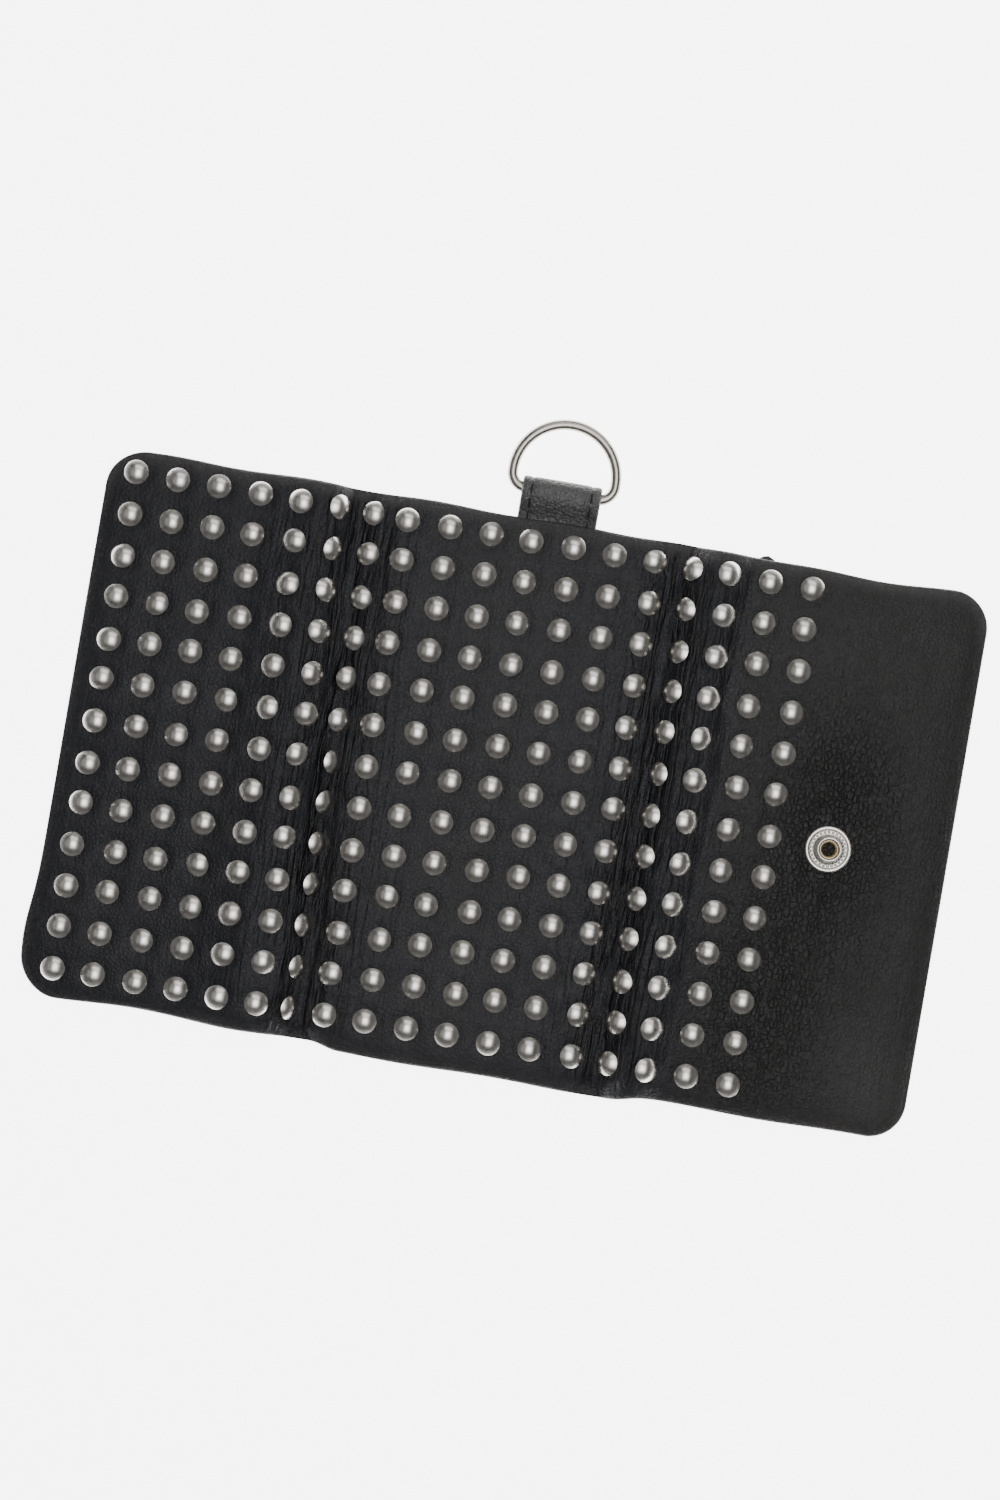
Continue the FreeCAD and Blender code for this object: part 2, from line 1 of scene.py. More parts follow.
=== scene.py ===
import bpy
import json
import math
import random
import numpy as np
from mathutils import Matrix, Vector


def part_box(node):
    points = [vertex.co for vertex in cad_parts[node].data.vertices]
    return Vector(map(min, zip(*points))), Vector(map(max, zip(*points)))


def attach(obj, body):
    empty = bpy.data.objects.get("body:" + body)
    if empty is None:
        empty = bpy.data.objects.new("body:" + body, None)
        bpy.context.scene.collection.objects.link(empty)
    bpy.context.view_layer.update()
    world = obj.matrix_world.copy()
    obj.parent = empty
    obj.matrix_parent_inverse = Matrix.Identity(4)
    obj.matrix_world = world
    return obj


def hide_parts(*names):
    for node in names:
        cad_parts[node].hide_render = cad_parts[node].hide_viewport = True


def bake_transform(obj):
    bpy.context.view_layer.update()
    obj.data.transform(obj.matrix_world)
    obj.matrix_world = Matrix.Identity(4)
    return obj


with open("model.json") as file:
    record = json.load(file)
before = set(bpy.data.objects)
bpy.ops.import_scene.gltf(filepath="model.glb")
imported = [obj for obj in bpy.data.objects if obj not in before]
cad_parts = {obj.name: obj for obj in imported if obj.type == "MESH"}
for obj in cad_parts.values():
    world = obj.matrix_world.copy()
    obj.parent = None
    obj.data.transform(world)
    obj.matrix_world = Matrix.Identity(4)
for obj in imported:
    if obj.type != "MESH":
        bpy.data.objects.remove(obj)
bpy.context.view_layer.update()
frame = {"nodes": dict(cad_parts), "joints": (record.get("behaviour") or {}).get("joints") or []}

# A studded trifold wallet lying open, studs up. Lengths in this script are in
# millimetres unless a name says otherwise, and become metres in make_mesh.

MM = 0.001


def node_box(node):
    """A CAD node's lowest and highest corners, in millimetres."""
    low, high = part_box(node)
    return [value / MM for value in low], [value / MM for value in high]


def joint_place(name):
    joint = next(item for item in frame["joints"] if item["name"] == name)
    return [value / MM for value in joint["pos_m"]]


# ---------------------------------------------------------------- driving sizes

BACK_LOW, BACK_HIGH = node_box("back_leather")
LEFT_END = node_box("left_flap_leather")[0][0]
RIGHT_END = node_box("right_flap_leather")[1][0]
HALF_HEIGHT = BACK_HIGH[1]
BACK_DROP = -HALF_HEIGHT - BACK_LOW[1]
FACE = BACK_HIGH[2]
LEATHER = BACK_HIGH[2] - BACK_LOW[2]
CORNER = 8.0

WALLET_LOW = (LEFT_END, -HALF_HEIGHT)
WALLET_HIGH = (RIGHT_END, HALF_HEIGHT)

LEFT_OUTER = joint_place("left_flap_fold")[0]
LEFT_INNER = joint_place("left_spine_fold")[0]
RIGHT_INNER = joint_place("right_spine_fold")[0]
RIGHT_OUTER = joint_place("right_flap_fold")[0]
LEFT_MIDDLE = (LEFT_OUTER + LEFT_INNER) / 2
RIGHT_MIDDLE = (RIGHT_INNER + RIGHT_OUTER) / 2

STUD_RADIUS = 2.5
STUD_PITCH = 8.65
STUD_RISE = 0.98
STUD_SINK = 0.12
ROWS = 13
FIRST_ROW = node_box("back_studs")[1][1] - STUD_RADIUS

SNAP_LOW, SNAP_HIGH = node_box("snap_stud")
SNAP_X = (SNAP_LOW[0] + SNAP_HIGH[0]) / 2
SNAP_RADIUS = (SNAP_HIGH[0] - SNAP_LOW[0]) / 2

# Bodies from left to right, each with its first column of studs and its pitch.
STUD_COLUMNS = {
    "left_flap": (node_box("left_flap_studs")[1][0] - STUD_RADIUS, -STUD_PITCH, 5),
    "left_spine": (node_box("left_spine_studs")[1][0] - STUD_RADIUS, -7.1, 2),
    "back": (node_box("back_studs")[0][0] + STUD_RADIUS, STUD_PITCH, 7),
    "right_spine": (node_box("right_spine_studs")[0][0] + STUD_RADIUS, STUD_PITCH, 1),
    "right_flap": (node_box("right_flap_studs")[0][0] + STUD_RADIUS, STUD_PITCH, 3),
}


# ---------------------------------------------------------------- the camera

def add_camera():
    """Looks straight down, turned a little so that the wallet lies askew."""
    view_height = 312.0
    distance = 640.0
    view_middle = (0.75, 8.74)
    askew = math.radians(9.75)
    data = bpy.data.cameras.new("camera")
    data.sensor_fit = "VERTICAL"
    data.sensor_height = 36.0
    data.lens = data.sensor_height * distance / view_height
    data.clip_end = 20.0
    camera = bpy.data.objects.new("camera", data)
    bpy.context.collection.objects.link(camera)
    camera.location = Vector((*view_middle, distance)) * MM
    camera.rotation_euler = (0.0, 0.0, askew)
    bpy.context.scene.camera = camera


add_camera()


# ---------------------------------------------------------------- mesh helpers

def make_mesh(name, points, faces, material=None, smooth=True):
    """A mesh object at the origin from points in millimetres."""
    mesh = bpy.data.meshes.new(name)
    mesh.from_pydata([tuple(value * MM for value in point) for point in points], [], faces)
    mesh.validate()
    if smooth:
        mesh.shade_smooth()
    made = bpy.data.objects.new(name, mesh)
    bpy.context.collection.objects.link(made)
    if material:
        mesh.materials.append(material)
    return made


def smoothstep(value, low, high):
    part = np.clip((value - low) / (high - low), 0.0, 1.0)
    return part * part * (3.0 - 2.0 * part)


def bell(value, middle, width):
    return np.exp(-((value - middle) / width) ** 2)


def lathe(name, middle, profile, material, segments=64):
    """A round piece on a vertical axis from (radius, height) pairs; closes at radius 0."""
    points, faces = [], []
    rings = []
    for radius, height in profile:
        if radius == 0:
            rings.append([len(points)] * segments)
            points.append((middle[0], middle[1], height))
            continue
        rings.append(list(range(len(points), len(points) + segments)))
        for k in range(segments):
            turn = 2 * math.pi * k / segments
            points.append((middle[0] + radius * math.cos(turn),
                           middle[1] + radius * math.sin(turn), height))
    for lower, upper in zip(rings, rings[1:]):
        for k in range(segments):
            after = (k + 1) % segments
            corners = [lower[k], lower[after], upper[after], upper[k]]
            faces.append(list(dict.fromkeys(corners)))
    return make_mesh(name, points, faces, material)


# ---------------------------------------------------------------- shader helpers

class Wire:
    """A shader socket on which Python arithmetic adds Math nodes."""

    def __init__(self, finish, socket):
        self.finish = finish
        self.socket = socket

    def math(self, operation, first, second):
        return self.finish.node(
            "ShaderNodeMath", {"operation": operation}, {0: first, 1: second}
        )

    def __add__(self, other):
        return self.math("ADD", self, other)

    def __radd__(self, other):
        return self.math("ADD", other, self)

    def __sub__(self, other):
        return self.math("SUBTRACT", self, other)

    def __rsub__(self, other):
        return self.math("SUBTRACT", other, self)

    def __mul__(self, other):
        return self.math("MULTIPLY", self, other)

    def __rmul__(self, other):
        return self.math("MULTIPLY", other, self)

    def __pow__(self, other):
        return self.math("POWER", self, other)


class Finish:
    """A material whose nodes all come from one method."""

    def __init__(self, name, **uniform):
        self.material = bpy.data.materials.new(name)
        self.material.use_nodes = True
        self.tree = self.material.node_tree
        self.shader = self.tree.nodes["Principled BSDF"]
        for socket, value in uniform.items():
            self.shader.inputs[socket.replace("_", " ")].default_value = value

    def node(self, kind, settings=None, sockets=None, output=0):
        made = self.tree.nodes.new(kind)
        for key, value in (settings or {}).items():
            if key == "stops":
                self.fill_ramp(made.color_ramp, value)
            else:
                setattr(made, key, value)
        for place, value in (sockets or {}).items():
            self.feed(made.inputs[place], value)
        return Wire(self, made.outputs[output])

    def fill_ramp(self, ramp, stops):
        while len(ramp.elements) < len(stops):
            ramp.elements.new(0.5)
        for element, (position, shade) in zip(ramp.elements, stops):
            element.position = position
            element.color = (*shade, 1.0) if hasattr(shade, "__len__") else (shade, shade, shade, 1.0)

    def feed(self, target, value):
        if isinstance(value, Wire):
            self.tree.links.new(value.socket, target)
        else:
            target.default_value = value

    def place(self, scale=(1.0, 1.0, 1.0)):
        """Object coordinates in metres, stretched by a factor on each axis."""
        coordinates = self.node("ShaderNodeTexCoord", output=3)
        return self.node("ShaderNodeMapping", {}, {"Vector": coordinates, "Scale": scale})

    def noise(self, scale, detail=3.0, stretch=(1.0, 1.0, 1.0), roughness=0.5):
        return self.node(
            "ShaderNodeTexNoise", {},
            {"Vector": self.place(stretch), "Scale": scale, "Detail": detail,
             "Roughness": roughness},
        )

    def cells(self, scale, feature="DISTANCE_TO_EDGE", stretch=(1.0, 1.0, 1.0)):
        return self.node(
            "ShaderNodeTexVoronoi", {"feature": feature},
            {"Vector": self.place(stretch), "Scale": scale},
        )

    def ramp(self, value, *stops):
        return self.node("ShaderNodeValToRGB", {"stops": stops}, {"Fac": value})

    def mixed(self, share, first, second):
        """A colour between two colours."""
        made = self.tree.nodes.new("ShaderNodeMix")
        made.data_type = "RGBA"
        self.feed(made.inputs[0], share)
        self.feed(made.inputs[6], first)
        self.feed(made.inputs[7], second)
        return Wire(self, made.outputs[2])

    def map(self, name):
        """A float attribute of the piece's own mesh."""
        return self.node("ShaderNodeAttribute", {"attribute_name": name}, {}, output=2)

    def set(self, socket, value):
        self.feed(self.shader.inputs[socket], value)

    def bump(self, height, distance, strength=1.0):
        """Raises the surface by a height from 0 to 1 times a distance in metres."""
        self.set("Normal", self.node(
            "ShaderNodeBump", {},
            {"Height": height, "Distance": distance, "Strength": strength},
        ))


# ---------------------------------------------------------------- finishes

def outer_leather_finish(name, shine):
    """Black calf leather: small grain, streaks along the folds, crackle by the snap, painted shade in
    the fine crease lines, and a paler colour for worn spots and painted highlight.
    """
    finish = Finish(name, Specular_IOR_Level=shine)
    crease = finish.map("crease")
    crackle = finish.map("crackle")
    warmth = finish.map("warmth")
    wear = finish.map("wear")
    grain = finish.ramp(finish.cells(1100.0), (0.0, 0.0), (0.22, 0.8), (0.6, 1.0))
    pores = finish.noise(3600.0, 2.0)
    hide = finish.noise(150.0, 4.0)
    streaks = finish.noise(900.0, 4.0, (1.0, 0.08, 1.0), 0.62)
    hairlines = finish.ramp(finish.noise(430.0, 3.0, (1.0, 0.10, 1.0)),
                            (0.36, 1.0), (0.47, 0.0), (0.56, 1.0))
    lines = finish.ramp(finish.cells(980.0, stretch=(1.0, 0.75, 1.0)), (0.0, 0.0), (0.2, 1.0))
    height = (
        grain * 0.16 + pores * 0.10 + hide * 0.6
        + streaks * crease * 1.1
        + hairlines * (0.10 + 0.90 * crease) * 0.8
        + lines * crackle * 0.4
    )
    finish.bump(height, 0.00045, 0.9)
    cool = finish.mixed(hide, (0.0045, 0.0049, 0.0075, 1.0), (0.0085, 0.0090, 0.0125, 1.0))
    warm = finish.mixed(hide, (0.0070, 0.0063, 0.0060, 1.0), (0.0130, 0.0116, 0.0108, 1.0))
    colour = finish.mixed(warmth, cool, warm)
    # Paler colour where the map is high: worn spots, and painted highlight along the edges and on the
    # tab.
    colour = finish.mixed(wear, colour, (0.042, 0.040, 0.039, 1.0))
    # Painted shade: the fine crease lines are darkened in colour, most of all inside the fold bands.
    line_shade = (1.0 - hairlines) * (0.25 + 0.75 * crease)
    colour = finish.mixed(0.75 * line_shade, colour, (0.0012, 0.0012, 0.0014, 1.0))
    finish.set("Base Color", colour)
    finish.set("Roughness", 0.40 + 0.14 * hide - 0.05 * streaks * crease + 0.06 * pores)
    return finish.material


def inner_leather_finish():
    """Smooth black leather of the panels and pockets."""
    finish = Finish("inner_leather", Specular_IOR_Level=0.4)
    grain = finish.ramp(finish.cells(1700.0), (0.0, 0.0), (0.3, 1.0))
    hide = finish.noise(220.0, 4.0)
    finish.bump(grain * 0.4 + hide * 0.6, 0.0001, 0.7)
    finish.set("Base Color", finish.mixed(
        hide, (0.012, 0.012, 0.0125, 1.0), (0.022, 0.021, 0.0205, 1.0)))
    finish.set("Roughness", 0.44 + 0.16 * hide)
    return finish.material


def lining_finish():
    """Fine black twill."""
    finish = Finish("lining_fabric", Specular_IOR_Level=0.2, Sheen_Weight=0.25)
    twill = finish.node(
        "ShaderNodeTexWave", {"wave_type": "BANDS", "bands_direction": "DIAGONAL"},
        {"Vector": finish.place((1.0, 1.0, 0.0)), "Scale": 620.0, "Distortion": 0.6,
         "Detail": 1.0, "Detail Scale": 2.0}, output=1)
    warp = finish.noise(3000.0, 2.0, (1.0, 0.15, 1.0))
    finish.bump(twill * 0.7 + warp * 0.4, 0.00008, 0.8)
    finish.set("Base Color", finish.mixed(
        twill, (0.010, 0.010, 0.011, 1.0), (0.030, 0.030, 0.033, 1.0)))
    finish.set("Roughness", 0.78 + 0.1 * warp)
    return finish.material


def nickel_finish(name, deep, pale):
    """Polished nickel plate with faint handling marks."""
    finish = Finish(name, Metallic=1.0)
    cloud = finish.noise(900.0, 3.0)
    finish.set("Base Color", finish.mixed(cloud, (*deep, 1.0), (*pale, 1.0)))
    scratches = finish.noise(4200.0, 2.0, (1.0, 0.2, 0.6))
    finish.set("Roughness", 0.24 + 0.08 * cloud ** 2.0 + 0.06 * scratches)
    finish.bump(finish.noise(1500.0, 1.0), 0.000004, 0.6)
    return finish.material


def brass_finish():
    """Brass of the snap's barrel, dulled inside."""
    finish = Finish("brass", Metallic=1.0)
    cloud = finish.noise(2500.0, 3.0)
    finish.set("Base Color", finish.mixed(
        cloud, (0.40, 0.33, 0.21, 1.0), (0.68, 0.58, 0.40, 1.0)))
    finish.set("Roughness", 0.28 + 0.2 * cloud)
    return finish.material


def steel_finish():
    finish = Finish("spring_steel", Metallic=1.0)
    drawn = finish.noise(5000.0, 2.0)
    finish.set("Base Color", finish.mixed(
        drawn, (0.42, 0.42, 0.42, 1.0), (0.58, 0.58, 0.58, 1.0)))
    finish.set("Roughness", 0.25 + 0.15 * drawn)
    return finish.material


def thread_finish():
    """Waxed black thread."""
    finish = Finish("thread", Specular_IOR_Level=0.35)
    twist = finish.noise(5200.0, 2.0, (1.0, 0.35, 1.0))
    finish.bump(twist, 0.00005, 0.8)
    finish.set("Base Color", finish.mixed(
        twist, (0.006, 0.006, 0.007, 1.0), (0.022, 0.022, 0.024, 1.0)))
    finish.set("Roughness", 0.5 + 0.2 * twist)
    return finish.material


def floor_finish():
    """White acrylic lit evenly from below, so that it shows almost no shadow."""
    finish = Finish("floor", Specular_IOR_Level=0.1, Roughness=0.9,
                    Emission_Color=(1.0, 1.0, 1.0, 1.0), Emission_Strength=6.0)
    cloud = finish.noise(12.0, 2.0)
    finish.set("Base Color", finish.mixed(
        cloud, (0.90, 0.90, 0.90, 1.0), (0.93, 0.93, 0.93, 1.0)))
    return finish.material


OUTER_LEATHER = outer_leather_finish("outer_leather", 0.33)
TAB_LEATHER = outer_leather_finish("tab_leather", 0.9)
INNER_LEATHER = inner_leather_finish()
LINING = lining_finish()
NICKEL = nickel_finish("polished_nickel", (0.58, 0.55, 0.51), (0.76, 0.73, 0.68))
# Painted shade: a darker copy of the nickel for the D-ring, standing in for the dark reflections it
# shows.
SHADED_RING_NICKEL = nickel_finish("shaded_ring_nickel", (0.30, 0.27, 0.24), (0.50, 0.47, 0.43))
BRASS = brass_finish()
STEEL = steel_finish()
THREAD = thread_finish()


# ---------------------------------------------------------------- stud places

def stud_places():
    """Where each body's studs stand, each a little off the grid as set by hand."""
    chance = random.Random(41)
    places = {}
    for body, (first, pitch, count) in STUD_COLUMNS.items():
        places[body] = [
            (first + pitch * column + chance.uniform(-0.2, 0.2),
             FIRST_ROW - STUD_PITCH * row + chance.uniform(-0.2, 0.2))
            for column in range(count)
            for row in range(ROWS)
        ]
    return places


STUDS = stud_places()
ALL_STUDS = np.array([place for body in STUDS.values() for place in body])


# ---------------------------------------------------------------- the outer face

def left_valley(y):
    """The left fold's valley runs aslant from top to bottom."""
    return LEFT_MIDDLE + 3.6 - 2.9 * y / HALF_HEIGHT + 0.4 * np.sin(y / 8.3) + 0.2 * np.sin(y / 3.7)


def right_valley(y):
    return RIGHT_INNER + 0.5 + 0.35 * np.sin(y / 11.0 + 1.0) + 0.2 * np.sin(y / 4.3)


def slow_waves(x, y):
    """The soft unevenness of a used wallet."""
    return (
        0.16 * np.sin(x / 11.0 + 0.6 * np.sin(y / 17.0))
        + 0.14 * np.sin(y / 13.0 + 0.8 * np.sin(x / 15.0))
        + 0.09 * np.sin((x + 0.7 * y) / 6.5)
        + 0.07 * np.sin((x - 1.3 * y) / 5.2)
    )


def fold_bands(x, y):
    """How near a point is to the worn bands along the two folds, from 0 to 1; it also sets the
    painted shade in their fine lines.
    """
    left = bell(x, left_valley(y) - 1.0, 10.0)
    right = bell(x, right_valley(y) + 2.5, 9.0)
    return np.clip(left + right, 0.0, 1.0)


VALLEY_FLOOR = 2.5
# Inside a fold the leather is pressed thin, so that it never bulges inwards past this height.
PRESSED = FACE - LEATHER - 0.65
THINNEST = 0.3


def face_height(x, y):
    """Height of the outer face over the table."""
    left_slope = np.clip((-52.0 - x) / 38.0, 0.0, 1.0) ** 1.5
    right_slope = np.clip((x - 46.0) / 50.0, 0.0, 1.0) ** 1.4
    height = FACE + 0.6 - 0.5 * left_slope - 0.6 * right_slope
    height = height + 1.8 * bell(x, LEFT_OUTER + 0.2, 7.5)
    height = height + 1.9 * bell(x, RIGHT_OUTER + 0.7, 4.9)
    upper = smoothstep(y, 8.0, 42.0)
    height = height - 0.8 * bell(x, LEFT_INNER + 0.6, 1.0) * upper
    second = RIGHT_OUTER + 7.2 + 0.5 * np.sin(y / 7.0)
    height = height - 0.42 * bell(x, second, 1.3) * (0.45 + 0.55 * smoothstep(y, -20.0, 40.0))
    ripple = np.sin(x * 2.6 + 1.7 * np.sin(y / 9.0)) * np.sin(y / 6.0 + x)
    height = height + 0.09 * ripple * fold_bands(x, y)
    for valley in (left_valley(y), right_valley(y)):
        height = height - (height - VALLEY_FLOOR) * bell(x, valley, 3.4)
        height = height - 0.35 * bell(x, valley, 0.55)
    return height + slow_waves(x, y)


def stud_dimples(x, y):
    """The leather dips where each stud pulls it down."""
    dip = np.zeros_like(x)
    for stud_x, stud_y in ALL_STUDS:
        near = (np.abs(x - stud_x) < 6.0) & (np.abs(y - stud_y) < 6.0)
        away = np.hypot(x[near] - stud_x, y[near] - stud_y)
        dip[near] += 0.28 * np.exp(-(np.maximum(away - 2.1, 0.0) / 1.25) ** 2)
    return dip


def outline_shift(x, y):
    """Moves points near the upper and lower edges so that the outline undulates."""
    nearness = np.abs(y / HALF_HEIGHT) ** 14
    middle_part = smoothstep(x, LEFT_INNER + 2.0, LEFT_INNER + 8.0)
    middle_part = middle_part - smoothstep(x, RIGHT_OUTER - 4.0, RIGHT_OUTER + 4.0)
    lower = -BACK_DROP * middle_part + 0.5 * bell(x, -63.0, 14.0) + 0.2 * np.sin(x / 6.0)
    upper = -0.3 - 0.6 * bell(x, 69.0, 12.0) - 0.3 * bell(x, 36.0, 5.0) + 0.2 * np.sin(x / 4.4)
    return np.where(y > 0, upper, lower) * nearness


def side_shift(x, y):
    """The left edge swells outwards above its lower corner."""
    nearness = smoothstep(LEFT_END - x, -14.0, 0.0)
    return -1.1 * bell(y, -45.0, 9.0) * nearness


def edge_distance(x, y, low, high, radii):
    """Distance in from a rectangle whose left and right corners have their own radius."""
    middle = [(low[k] + high[k]) / 2 for k in (0, 1)]
    radius = np.where(x < middle[0], radii[0], radii[1])
    across = np.abs(x - middle[0]) - ((high[0] - low[0]) / 2 - radius)
    along = np.abs(y - middle[1]) - ((high[1] - low[1]) / 2 - radius)
    outside = np.hypot(np.maximum(across, 0.0), np.maximum(along, 0.0))
    inside = np.minimum(np.maximum(across, along), 0.0)
    return np.maximum(radius - outside - inside, 0.0)


EDGE_STEPS = [0.0, 0.04, 0.15, 0.34, 0.6, 0.95, 1.4]


def steps_between(start, stop, step, soft_start, soft_stop):
    """Values from start to stop, closer together where an end is a turned edge."""
    low = [start + value for value in EDGE_STEPS] if soft_start else [start]
    high = [stop - value for value in reversed(EDGE_STEPS)] if soft_stop else [stop]
    count = max(int(round((high[0] - low[-1]) / step)), 2)
    between = [low[-1] + (high[0] - low[-1]) * k / count for k in range(1, count)]
    return np.array(low + between + high)


def sheet_grid(low, high, radii, step, span=None):
    """Points of a rounded rectangle, or of a span of it along X, in rows along X.

    Returns x, y and the distance in from the edge, which is 0 along the edge itself."""
    start, stop = span or (low[0], high[0])
    start, stop = max(start, low[0]), min(stop, high[0])
    free = (start == low[0], stop == high[0])
    x_line = steps_between(start, stop, step, *free)
    y_line = steps_between(low[1], high[1], step * 1.3, True, True)
    x, y = np.meshgrid(x_line, y_line)
    for side, radius, end in ((0, radii[0], x_line[0]), (1, radii[1], x_line[-1])):
        if free[side]:
            beyond = np.maximum(low[1] + radius - y, y - high[1] + radius)
            into_corner = np.clip(beyond, 0.0, radius)
            recess = radius - np.sqrt(radius ** 2 - into_corner ** 2)
            share = np.clip(1.0 - np.abs(x_line - end) / (3.0 * CORNER), 0.0, 1.0)
            x = x + (1 - 2 * side) * recess * share
    depth = edge_distance(x, y, low, high, radii)
    depth[[0, -1], :] = 0.0
    for side in (0, 1):
        if free[side]:
            depth[:, -side] = 0.0
    return x, y, depth


def turned(depth, thick):
    """How far a face falls back towards a rounded edge of a sheet."""
    half = thick / 2
    inward = np.minimum(depth, half)
    return half - np.sqrt(np.maximum(half ** 2 - (half - inward) ** 2, 0.0))


def two_sided_sheet(name, x, y, top, under, joined, material):
    """A sheet from grids of its upper and lower face; joined marks points shared by both."""
    rows, columns = x.shape
    upper = np.arange(rows * columns).reshape(rows, columns)
    lower = upper + rows * columns
    lower = np.where(joined, upper, lower)
    points = np.concatenate([
        np.stack([x, y, top], axis=-1).reshape(-1, 3),
        np.stack([x, y, under], axis=-1).reshape(-1, 3),
    ])
    faces = []
    for i in range(rows - 1):
        for j in range(columns - 1):
            faces.append((upper[i, j], upper[i, j + 1], upper[i + 1, j + 1], upper[i + 1, j]))
            faces.append((lower[i, j], lower[i + 1, j], lower[i + 1, j + 1], lower[i, j + 1]))
    walls = []
    for column in (0, columns - 1):
        for i in range(rows - 1):
            ring = [upper[i, column], upper[i + 1, column],
                    lower[i + 1, column], lower[i, column]]
            ring = list(dict.fromkeys(int(corner) for corner in ring))
            if len(ring) > 2 and not (joined[i, column] and joined[i + 1, column]):
                walls.append(ring if column == 0 else ring[::-1])
    faces += walls
    used = sorted({int(corner) for face in faces for corner in face})
    renumber = {old: new for new, old in enumerate(used)}
    faces = [[renumber[int(corner)] for corner in face] for face in faces]
    piece = make_mesh(name, points[used], faces, material)
    crease_walls(piece, [[renumber[corner] for corner in wall] for wall in walls])
    return piece, used


def crease_walls(piece, walls):
    """Keeps the edges of the end walls sharp, so that the faces next to them shade flat."""
    rims = {frozenset(pair) for wall in walls for pair in zip(wall, wall[1:] + wall[:1])}
    sharp = piece.data.attributes.new("sharp_edge", "BOOLEAN", "EDGE")
    sharp.data.foreach_set("value", [
        frozenset(edge.vertices) in rims for edge in piece.data.edges])


def add_map(piece, name, values):
    attribute = piece.data.attributes.new(name, "FLOAT", "POINT")
    attribute.data.foreach_set("value", np.asarray(values, dtype=np.float32))


def edge_droop(depth):
    """How far the padded face falls off towards its turned edge."""
    return 1.15 * np.exp(-(depth / 2.6) ** 1.4)


def face_with_dimples(x, y, depth):
    """The outer face with stud dimples and its soft fall towards the turned edges."""
    face = face_height(x, y) - stud_dimples(x, y) - edge_droop(depth)
    return np.maximum(face, PRESSED + THINNEST)


def leather_stretch(name, start, stop):
    """One stretch of the outer leather, with a turned edge where it is free."""
    x, y, depth = sheet_grid(WALLET_LOW, WALLET_HIGH, (CORNER, CORNER), 0.5, (start, stop))
    face = face_with_dimples(x, y, depth)
    thick = np.minimum(LEATHER + 0.25 * np.exp(-depth / 4.0), face - PRESSED)
    fall = turned(depth, thick)
    moved_y = y + outline_shift(x, y)
    moved_x = x + side_shift(x, y)
    piece, used = two_sided_sheet(
        name, moved_x, moved_y, face - fall, face - thick + fall, depth == 0.0, OUTER_LEATHER)
    maps = {
        "crease": fold_bands(x, y) * smoothstep(depth, 0.6, 4.0),
        "crackle": crackle_map(x, y),
        "warmth": smoothstep(x, 38.0, 66.0),
        "wear": wear_and_sheen_map(x, y, depth),
    }
    for map_name, grid in maps.items():
        both_faces = np.concatenate([grid.reshape(-1), grid.reshape(-1)])
        add_map(piece, map_name, both_faces[used])
    return piece


def crackle_map(x, y):
    """Fine crackle above and around the snap and beside the lower studs."""
    by_snap = bell(np.hypot(x - SNAP_X, (y - 6.0) * 0.6), 0.0, 15.0)
    lower = bell(np.hypot((x - 62.0) * 0.8, (y + 38.0) * 0.5), 0.0, 13.0)
    return np.clip(by_snap + 0.8 * lower, 0.0, 1.0)


def wear_and_sheen_map(x, y, depth):
    """Paler turned edges, partly rubbed wear and partly painted highlight, with a wider painted
    highlight along the top; a paler middle, and a worn patch at the lower right corner.
    """
    # Painted highlight: the rim, partly also rubbed wear, and the band along the top are painted
    # paler where the turned edge catches the light.
    rim = 0.30 * np.exp(-((depth - 0.5) / 0.7) ** 2)
    top_band = 0.55 * np.exp(-((depth - 1.2) / 1.6) ** 2) * smoothstep(y, 44.0, 54.0)
    # A paler middle, and real wear at the lower right corner.
    middle = 0.16 * bell(x, -2.0, 24.0)
    corner = 0.45 * bell(np.hypot(x - RIGHT_END + 8.0, (y + HALF_HEIGHT - 9.0) * 0.8), 0.0, 9.0)
    return np.clip(rim + top_band + middle + corner, 0.0, 1.0)


# Each stretch with its crease and how far the bend reaches to its left and right.
STRETCHES = [
    ("left_flap", "left_spine", LEFT_END, LEFT_MIDDLE, LEFT_OUTER, 3.4, 3.4),
    ("left_spine", "back", LEFT_MIDDLE, 0.0, LEFT_INNER, 3.4, 0.6),
    ("back", "right_spine", 0.0, RIGHT_MIDDLE, RIGHT_INNER, 3.0, 3.0),
    ("right_spine", "right_flap", RIGHT_MIDDLE, RIGHT_END, RIGHT_OUTER, 3.0, 3.0),
]


def bend_over(piece, stretch):
    """Bakes the piece's placement into its points; the bend limits are worked out but not used."""
    left_body, right_body, _, _, crease, to_left, to_right = stretch
    (crease - to_left) * MM
    (crease + to_right) * MM
    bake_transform(piece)


for stretch in STRETCHES:
    left_body, right_body, start, stop = stretch[:4]
    leather = leather_stretch(f"outer_leather_{left_body}_to_{right_body}", start, stop)
    bend_over(leather, stretch)
    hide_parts(f"{left_body}_leather", f"{right_body}_leather")


# ---------------------------------------------------------------- lining

def lining_stretch(name, start, stop):
    """The lining under the outer leather, which it follows through the folds."""
    inset, thick = 1.3, 0.2
    low = [value + inset for value in WALLET_LOW]
    high = [value - inset for value in WALLET_HIGH]
    x, y, depth = sheet_grid(low, high, (CORNER - inset, CORNER - inset), 1.1, (start, stop))
    face = face_height(x, y) - stud_dimples(x, y) - LEATHER - 0.1 - edge_droop(depth + inset)
    face = np.minimum(face - 0.25 * bell(depth, 0.0, 1.5), FACE - LEATHER - 0.1)
    face = np.maximum(face, PRESSED - 0.04)
    fall = turned(depth, thick)
    moved_y = y + outline_shift(x, y) * 0.8
    piece, _ = two_sided_sheet(
        name, x, moved_y, face - fall, face - thick + fall, depth == 0.0, LINING)
    return piece


